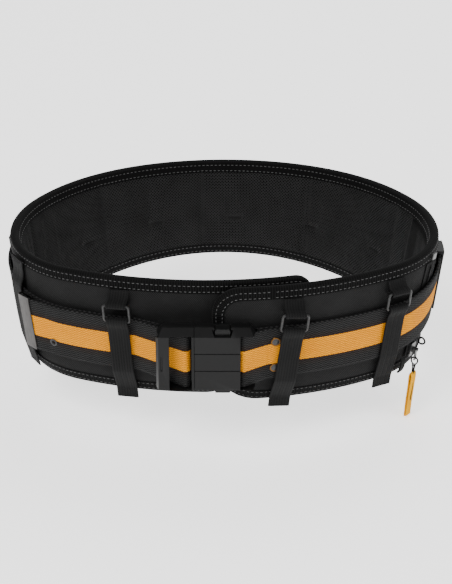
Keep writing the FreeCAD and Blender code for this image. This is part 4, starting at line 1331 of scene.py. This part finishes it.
# ============================== pieces refined from the frame's own meshes ==================
def refined(node, name, material, edge, body, segments=2, angle=30.0):
    """A CAD node's shape with its edges rounded as a moulding's or a stamping's are."""
    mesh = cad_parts[node].data.copy()
    mesh.name = name
    work = bmesh.new()
    work.from_mesh(mesh)
    bmesh.ops.remove_doubles(work, verts=work.verts, dist=2e-6)
    bmesh.ops.dissolve_limit(work, angle_limit=math.radians(1.0), verts=work.verts,
                             edges=work.edges)
    work.to_mesh(mesh)
    work.free()
    mesh.materials.clear()
    mesh.materials.append(material)
    mesh.polygons.foreach_set("material_index", [0] * len(mesh.polygons))
    mesh.shade_smooth()
    mesh.set_sharp_from_angle(angle=math.radians(angle))
    obj = add_object(name, mesh)
    bevel = obj.modifiers.new("edge", "BEVEL")
    bevel.width = edge * MM
    bevel.segments = segments
    bevel.limit_method = "ANGLE"
    bevel.angle_limit = math.radians(angle)
    bevel.harden_normals = True
    bevel.miter_outer = "MITER_ARC"
    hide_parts(node)
    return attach(obj, body)


make_rivets()
make_eyelet()
for node, material, edge, body, slot_name in (
        ("webbing_tip", tip_metal, 0.25, "root", "tip_metal"),
        ("keeper_right", keeper_plastic, 0.5, "keeper_right", "keeper_plastic"),
        ("keeper_left", keeper_plastic, 0.5, "keeper_left", "keeper_plastic"),
        ("socket_front", buckle_plastic, 0.35, "buckle_socket", "buckle_plastic"),
        ("socket_back", buckle_plastic, 0.35, "buckle_socket", "buckle_plastic"),
        ("socket_bar", steel, 0.2, "buckle_socket", "bar_steel"),
        ("plug_body", buckle_plastic, 0.35, "buckle_plug", "buckle_plastic"),
        ("plug_bar", steel, 0.2, "buckle_plug", "bar_steel"),
        ("button_upper", button_plastic, 0.3, "button_upper", "button_plastic"),
        ("button_lower", button_plastic, 0.3, "button_lower", "button_plastic"),
        ("zipper_slider", zip_metal, 0.2, "zipper_slider", "zipper_metal"),
        ("zipper_puller", zip_metal, 0.15, "zipper_puller", "zipper_metal"),
        ("zipper_top_stop", zip_metal, 0.2, "root", "zipper_metal"),
        ("zipper_bottom_stop", zip_metal, 0.2, "root", "zipper_metal")):
    piece = refined(node, node + "_finish", material, edge, body)


def make_spring(node, sign):
    """Compression spring: a helix with closed ends, from the socket to its button."""
    low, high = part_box(node)
    low, high = low / MM, high / MM
    wire_radius, turns = 0.3, 6
    radius = (high.x - low.x) / 2 - wire_radius
    middle = (low + high) / 2
    length = high.z - low.z - 2 * wire_radius
    points = []
    for k in range(turns * 20 + 1):
        t = k / (turns * 20)
        rise = t * t * (3 - 2 * t)
        a = 2 * math.pi * turns * t
        points.append(Vector((middle.x + radius * math.cos(a), middle.y + radius * math.sin(a),
                              low.z + wire_radius + length * rise)))
    shape = Shape()
    wire(shape, points, wire_radius, 6)
    obj = shape.build(node + "_coil", [steel])
    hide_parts(node)
    ends = [(0, 0, low.z * MM), (0, 0, high.z * MM)][::sign]
    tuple(ends[0])
    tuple(ends[1])
    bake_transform(obj)


make_spring("button_spring_upper", 1)
make_spring("button_spring_lower", -1)


# ============================== belt loops ==================================================
STRAP_WIDTH, STRAP_THICK = 19.0, 2.0
RING_WIRE, RING_WIDTH, RING_HEIGHT = 2.4, 25.0, 18.0
TAB_HEIGHT, TAB_TOP = 10.0, 11.0
STRAP_OVERHANG = 7.0
BINDING_THICK = 0.8


def strap(name, matrix, line, width, material, thick=STRAP_THICK, flare=None, step=1.0):
    """Ribbed strap: `line` holds (outward, z) points of its middle; x runs across it."""
    points = even(soften([Vector((0, -o, z)) for o, z in line]), step)
    at = running(points)
    count = 16
    rows = []
    for i, p in enumerate(points):
        along = (points[min(i + 1, len(points) - 1)] - points[max(i - 1, 0)]).normalized()
        out = Vector((1, 0, 0)).cross(along).normalized()
        share = at[i] / at[-1]
        wide = width * (1 + (flare(share) if flare else 0.0))
        wave = 0.25 * noise.noise(Vector((p.z * 0.06, len(name), 0.5)))
        front, back = [], []
        for j in range(count + 1):
            x = wide * (j / count - 0.5)
            rib = 0.1 * math.cos(2 * math.pi * j / 2) if 1 < j < count - 1 else 0.0
            edge = 0.45 if j in (0, count) else 0.0
            half = thick / 2 - edge + rib
            spot = p + Vector((x + wave, 0, 0))
            front.append(matrix @ (spot + out * half))
            back.append(matrix @ (spot - out * half))
        rows.append(front + back[::-1])
    vs = [width * (j / count) for j in range(count + 1)]
    shape = Shape()
    shape.tube(rows, at, vs + vs[::-1] + [0.0])
    return shape.build(name, [material], 55)


def thread_box(name, matrix, surface, x0, x1, z0, z1):
    """A box of stitches on a strap; surface(z) is how far out its face lies."""
    shape = Shape()
    corners = [(x0, z0), (x1, z0), (x1, z1), (x0, z1), (x0, z0)]
    for (xa, za), (xb, zb) in zip(corners, corners[1:]):
        line = []
        for k in range(9):
            x, z = xa + (xb - xa) * k / 8, za + (zb - za) * k / 8
            line.append((matrix @ Vector((x, -surface(z), z)), matrix.to_3x3() @ Vector((0, -1, 0))))
        sew(shape, seam_spots(line, 2.2), 1.6, 0.45, 0.4)
    obj = shape.build(name, [black_thread])
    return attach(obj, "root")


def ring_wire(name, matrix, out, top, low, body):
    """Rectangular ring of round wire with turned corners and its butt weld at the side."""
    half = (RING_WIDTH - RING_WIRE) / 2
    turned = rounded([(0, top), (half, top), (half, low), (-half, low), (-half, top), (0, top)],
                     [2.0] * 4, 6)
    points = even([Vector((p.x, -out, p.y)) for p in turned], 0.8)[:-1]
    shape = Shape()
    wire(shape, [matrix @ p for p in points], RING_WIRE / 2, 10, closed=True)
    collar = [matrix @ Vector((half, -out, (top + low) / 2 + z)) for z in (-1.2, -0.8, 0.8, 1.2)]
    wire(shape, collar, RING_WIRE / 2 + 0.12, 10)
    obj = shape.build(name, [black_metal], 50)
    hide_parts("loop_" + name)
    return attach(obj, body)


def make_ring_loop(side, angle, turned, over):
    """Tab sewn to the pad, wire ring in its fold, and the strap hanging from the ring."""
    matrix = pad_frame(angle, 0, 0, turned)
    half = half_height(angle)
    top = half - TAB_TOP
    ring_out = over + STRAP_THICK + RING_WIRE / 2 + 0.4
    bar_top = top - TAB_HEIGHT + RING_WIRE
    bar_low = bar_top - RING_HEIGHT + RING_WIRE
    hold = RING_WIRE / 2 + 0.15
    ring_wire("ring_" + side, matrix, ring_out, bar_top, bar_low, "ring_" + side)
    # the tab: from the pad out over the ring's upper bar, round it and back underneath
    reach = hold + 0.65
    fold = [(1.2, top + 1.5), (1.9, top - 1), (ring_out * 0.62, bar_top + reach + 0.2),
            (ring_out + 0.4, bar_top + reach + 0.3), (ring_out + reach + 0.3, bar_top + 0.4),
            (ring_out + reach, bar_top - reach * 0.7), (ring_out - 0.6, bar_top - reach - 0.3),
            (ring_out * 0.55, bar_top - reach - 0.2), (1.3, bar_top - reach - 1.6)]
    tab = strap("tab_" + side, matrix, fold, STRAP_WIDTH - 1, loop_cloth, 1.3, step=0.7)
    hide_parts("loop_tab_" + side)
    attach(tab, "root")
    # the strap: round the lower bar, over the webbing, in to the pad's lower edge
    mid = STRAP_THICK / 2
    low_edge = webbing_height(place(angle, 0, 0).y) - WEBBING_WIDTH / 2 - 3
    foot = BINDING_THICK + 0.45 + mid
    eye = hold + 0.75
    line = [(ring_out - eye - 0.2, bar_low - 3.5), (ring_out - eye, bar_low),
            (ring_out - eye * 0.75, bar_low + eye * 0.9), (ring_out + 0.2, bar_low + eye + 0.2),
            (ring_out + eye * 0.9, bar_low + eye * 0.8), (ring_out + eye + 0.1, bar_low - 0.5),
            (ring_out + eye - 0.4, bar_low - 3.0), (over + mid + 1.6, bar_low - 9),
            (over + mid + 0.7, (bar_low + low_edge) / 2), (over + mid + 0.4, low_edge + 4),
            (over + mid - 0.2, low_edge), (foot + 1.2, -half + 7.5), (foot, -half + 3),
            (foot, -half - STRAP_OVERHANG)]
    body = strap("strap_" + side, matrix, line, STRAP_WIDTH, loop_cloth, 1.5)
    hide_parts("loop_strap_" + side)
    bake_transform(body)
    thread_box("strap_stitch_" + side, matrix, lambda z: foot + mid * 0.8, -7, 7,
               -half - STRAP_OVERHANG + 2, -half + 1.5)


def make_plain_loop(name, angle, over, flare=None):
    """A strap sewn to the pad above and below the webbing."""
    matrix = pad_frame(angle, 0, 0)
    half = half_height(angle)
    middle = webbing_height(place(angle, 0, 0).y)
    mid = STRAP_THICK / 2
    hi, lo = middle + WEBBING_WIDTH / 2 + 2.5, middle - WEBBING_WIDTH / 2 - 2.5
    near = BINDING_THICK + 0.4
    line = [(near + mid, half - 4.0), (near + mid, min(hi + 9, half - 6)), (over + mid, hi + 1),
            (over + mid + 0.4, hi - 4), (over + mid + 0.8, middle), (over + mid + 0.4, lo + 4),
            (over + mid, lo), (near + mid + 0.5, -half + 6), (near + mid, -half + 1)]
    obj = strap(name + "_strap", matrix, line, STRAP_WIDTH, loop_cloth, 1.6, flare)
    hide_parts(name)
    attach(obj, "root")
    thread_box(name + "_stitch_top", matrix, lambda z: near + mid + 0.95, -7, 7, half - 8.0,
               half - 5.5)
    thread_box(name + "_stitch_low", matrix, lambda z: near + mid + 0.95, -7, 7, -half + 2.2,
               -half + 4.8)


def side_flare(share):
    """Wider where it is sewn on above, as the strap fans out there."""
    return 0.22 * max(0.0, 1 - share / 0.2) ** 2


LEFT_RING_X, MIDDLE_RING_X, RIGHT_RING_ANGLE = -88.0, 54.0, -60.0
MIDDLE_RING_TURN, SIDE_LOOP_ANGLE = 4.5, 211.0
RING_SLACK, RIVET_CLEAR = 0.6, 0.9
make_ring_loop("left", left_angle_at(LEFT_RING_X), 0.0, OVER_OUT + LAYER_GAP + RING_SLACK)
make_ring_loop("middle", right_angle_at(MIDDLE_RING_X), MIDDLE_RING_TURN,
               OVER_OUT + RIVET_CLEAR + RING_SLACK)
make_ring_loop("right", RIGHT_RING_ANGLE, 0.0, WEB_OUT + LAYER_GAP)
make_plain_loop("side_loop", SIDE_LOOP_ANGLE, WEB_OUT + LAYER_GAP, side_flare)
for loop_name, loop_angle in (("rear_loop_left", 128.0), ("rear_loop_middle", 90.0),
                              ("rear_loop_right", 52.0)):
    make_plain_loop(loop_name, loop_angle, WEB_OUT + LAYER_GAP)


# ============================== zipper ======================================================
ZIP_ANGLE, ZIP_TURN = -33.0, 8.0
TAPE_W, TAPE_T, COIL_R = 9.0, 0.6, 0.6
ZIP_TRIM, ZIP_END_MARGIN, CHAIN_SHORT = 9.0, 1.3, 8
ZIP_HALF = HALF - ZIP_TRIM - ZIP_END_MARGIN
TAPE_OUT, TAPE_BESIDE, TAPE_CORD = 0.25, 0.25, 0.12
CHAIN_OUT = TAPE_OUT + TAPE_T + COIL_R + 0.05
zip_frame = pad_frame(ZIP_ANGLE, 0, 0, ZIP_TURN)


def make_zip_tape(side, sign):
    """Woven tape with a raised line near each of its edges."""
    count, high = 8, 60
    rows = []
    for i in range(high + 1):
        z = -ZIP_HALF + 2 * ZIP_HALF * i / high
        row = []
        for j in range(count + 1):
            x = sign * (TAPE_BESIDE + TAPE_W * j / count)
            lift = TAPE_OUT + TAPE_T + (TAPE_CORD if j in (1, 7) else 0.0)
            row.append(zip_frame @ Vector((x, -lift, z)))
        for j in range(count, -1, -1):
            x = sign * (TAPE_BESIDE + TAPE_W * j / count)
            row.append(zip_frame @ Vector((x, -TAPE_OUT, z)))
        rows.append(row)
    vs = [TAPE_W * j / count for j in range(count + 1)]
    shape = Shape()
    shape.tube(rows, [2 * ZIP_HALF * i / high for i in range(high + 1)], vs + vs[::-1] + [0])
    obj = shape.build("zip_tape_" + side, [zip_cloth], 50)
    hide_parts("zipper_tape_" + side)
    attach(obj, "root")


def make_zip_coil(side, sign):
    """Continuous coil of the chain: flattened turns that reach across the gap."""
    pitch = 1.25
    length = 2 * ZIP_HALF - CHAIN_SHORT
    turns = int(length / pitch)
    points = []
    for k in range(turns * 10 + 1):
        a = 2 * math.pi * k / 10
        z = -length / 2 + length * k / (turns * 10) + (0 if sign > 0 else pitch / 2)
        points.append(zip_frame @ Vector((sign * (0.72 + 0.62 * math.cos(a)),
                                          -CHAIN_OUT - 0.42 * math.sin(a), z)))
    shape = Shape()
    wire(shape, points, 0.26, 5)
    obj = shape.build("zip_coil_" + side, [coil_plastic], 60)
    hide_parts("zipper_coil_" + side)
    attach(obj, "root")


def reach(node, direction):
    """How far a CAD node's points reach along a direction: least and most, in millimetres."""
    points = np.array([tuple(v.co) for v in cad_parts[node].data.vertices]) / MM
    along = points @ np.array(tuple(direction))
    return along.min(), along.max()


def plumb_frame(node):
    """Frame at the top of the hanging cord; its x is the puller's pin."""
    along = zip_frame.to_3x3() @ Vector((1, 0, 0))
    up = (Vector((0, 0, 1)) - along * along.z).normalized()
    inward = up.cross(along)
    m = Matrix((along, inward, up)).transposed().to_4x4()
    m.translation = (along * sum(reach(node, along)) / 2 + inward * sum(reach(node, inward)) / 2
                     + up * reach(node, up)[1])
    return m, up


CORD_RADIUS, LOOP_RADIUS, CORD_GRIP = 0.9, 3.2, 4.0
TAG_WIDTH, TAG_THICK = 9.5, 2.6


def make_pull():
    """Cord looped through the puller, and the folded webbing tag over its ends."""
    m, up = plumb_frame("pull_cord")
    start = m.translation.dot(up)
    tip, base = (value - start for value in reach("pull_tag", up))
    top = -CORD_RADIUS
    loop = [(0.0, top)] + [(LOOP_RADIUS * math.sin(a), top - LOOP_RADIUS * (1 - math.cos(a)))
                           for a in (math.pi * k / 10 for k in range(1, 9))]
    right = [Vector((0, -y, z)) for y, z in loop]
    left = [Vector((0, y, z)) for y, z in loop[1:]]
    tail_z = base - CORD_GRIP + 0.3
    line = [Vector((-0.5, -0.75, tail_z)), Vector((0, -0.8, top - 2 * LOOP_RADIUS - 1.5))]
    line += right[::-1] + left + [Vector((0, 0.8, top - 2 * LOOP_RADIUS - 1.5)),
                                  Vector((0.5, 0.75, tail_z))]
    line = even(soften(line, 2), 0.5)
    shape = Shape()
    wire(shape, [m @ p for p in line], CORD_RADIUS * 0.8, 8)
    knot_z = top - 2 * LOOP_RADIUS - 2.4
    knot = [m @ Vector((1.15 * math.cos(a), 1.5 * math.sin(a), knot_z + 0.25 * a))
            for a in (2 * math.pi * k / 12 for k in range(20))]
    wire(shape, knot, 0.55, 6)
    cord = shape.build("pull_cord_loop", [black_cord], 60)
    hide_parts("pull_cord")
    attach(cord, "pull_tag")
    mid = TAG_THICK / 4
    line = [(-mid, tip + 0.3), (-mid - 0.5, tip + 14), (-mid - 0.3, base - 12), (-mid - 0.6, base - 5),
            (-mid - 0.3, base - 1.2), (0, base), (mid + 0.3, base - 1.2), (mid + 0.6, base - 5),
            (mid + 0.3, base - 12), (mid - 0.1, tip + 14), (mid + 0.2, tip + 0.8)]
    tag = strap("tag_fold", m, line, TAG_WIDTH, tag_cloth, 1.15, step=0.8)
    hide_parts("pull_tag")
    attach(tag, "pull_tag")
    shape = Shape()
    mark = [Vector((0.3 * math.sin(z * 0.3), -TAG_THICK / 2 - 0.15, base - 10 - z))
            for z in (0.5 * k for k in range(36))]
    wire(shape, [m @ p for p in mark], 0.42, 6)
    line_obj = shape.build("tag_stitch_line", [black_thread])
    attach(line_obj, "pull_tag")


EAR_LOOP, EAR_SHIFT, EAR_RISE, EAR_PLAY = 3.0, 18.0, 20.0, 0.3
EAR_BESIDE = (EAR_SHIFT * math.cos(math.radians(ZIP_TURN))
              + (EAR_RISE - HALF) * math.sin(math.radians(ZIP_TURN)))
EAR_OUT = EAR_LOOP + CORD_RADIUS + EAR_PLAY - (
    FRONT_SIDE_RADIUS - math.sqrt(FRONT_SIDE_RADIUS ** 2 - EAR_BESIDE ** 2))


def make_zip_trim():
    """Folded fabric tab over the zipper's lower end, and a cord ear beside it."""
    base = BINDING_THICK + 0.9
    line = [(base, -HALF + 13.5), (base + 1.6, -HALF + 12), (base + 2.0, -HALF + 7),
            (base + 1.4, -HALF + 2), (base + 0.2, -HALF - 0.2)]
    shift = zip_frame @ Matrix.Translation((-16.0, 0, 0))
    tab = strap("zip_end_tab", shift, line, 8.0, loop_cloth, 1.6,
                lambda t: 0.12 * math.sin(math.pi * t), 0.7)
    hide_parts("zipper_end_tab")
    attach(tab, "root")
    ring = []
    for k in range(28):
        a = 2 * math.pi * k / 28
        lean = 0.5 * math.sin(2 * a)
        ring.append(zip_frame @ Vector((EAR_SHIFT + lean, -EAR_OUT + EAR_LOOP * math.cos(a),
                                        -HALF + EAR_RISE + EAR_LOOP * math.sin(a))))
    shape = Shape()
    wire(shape, ring, CORD_RADIUS, 8, closed=True)
    ear = shape.build("cord_ear_loop", [black_cord], 60)
    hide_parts("cord_ear")
    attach(ear, "root")


make_zip_tape("front", -1)
make_zip_tape("rear", 1)
make_zip_coil("front", -1)
make_zip_coil("rear", 1)
make_pull()
make_zip_trim()


# ============================== floor and end ===============================================
def make_floor():
    size, level = 9.0, cad_bounds[0].z - 0.001
    mesh = bpy.data.meshes.new("floor")
    mesh.from_pydata([(-size, -size, level), (size, -size, level), (size, size, level),
                      (-size, size, level)], [], [(0, 1, 2, 3)])
    mesh.materials.append(floor_paint)
    floor = add_object("floor", mesh)


make_floor()
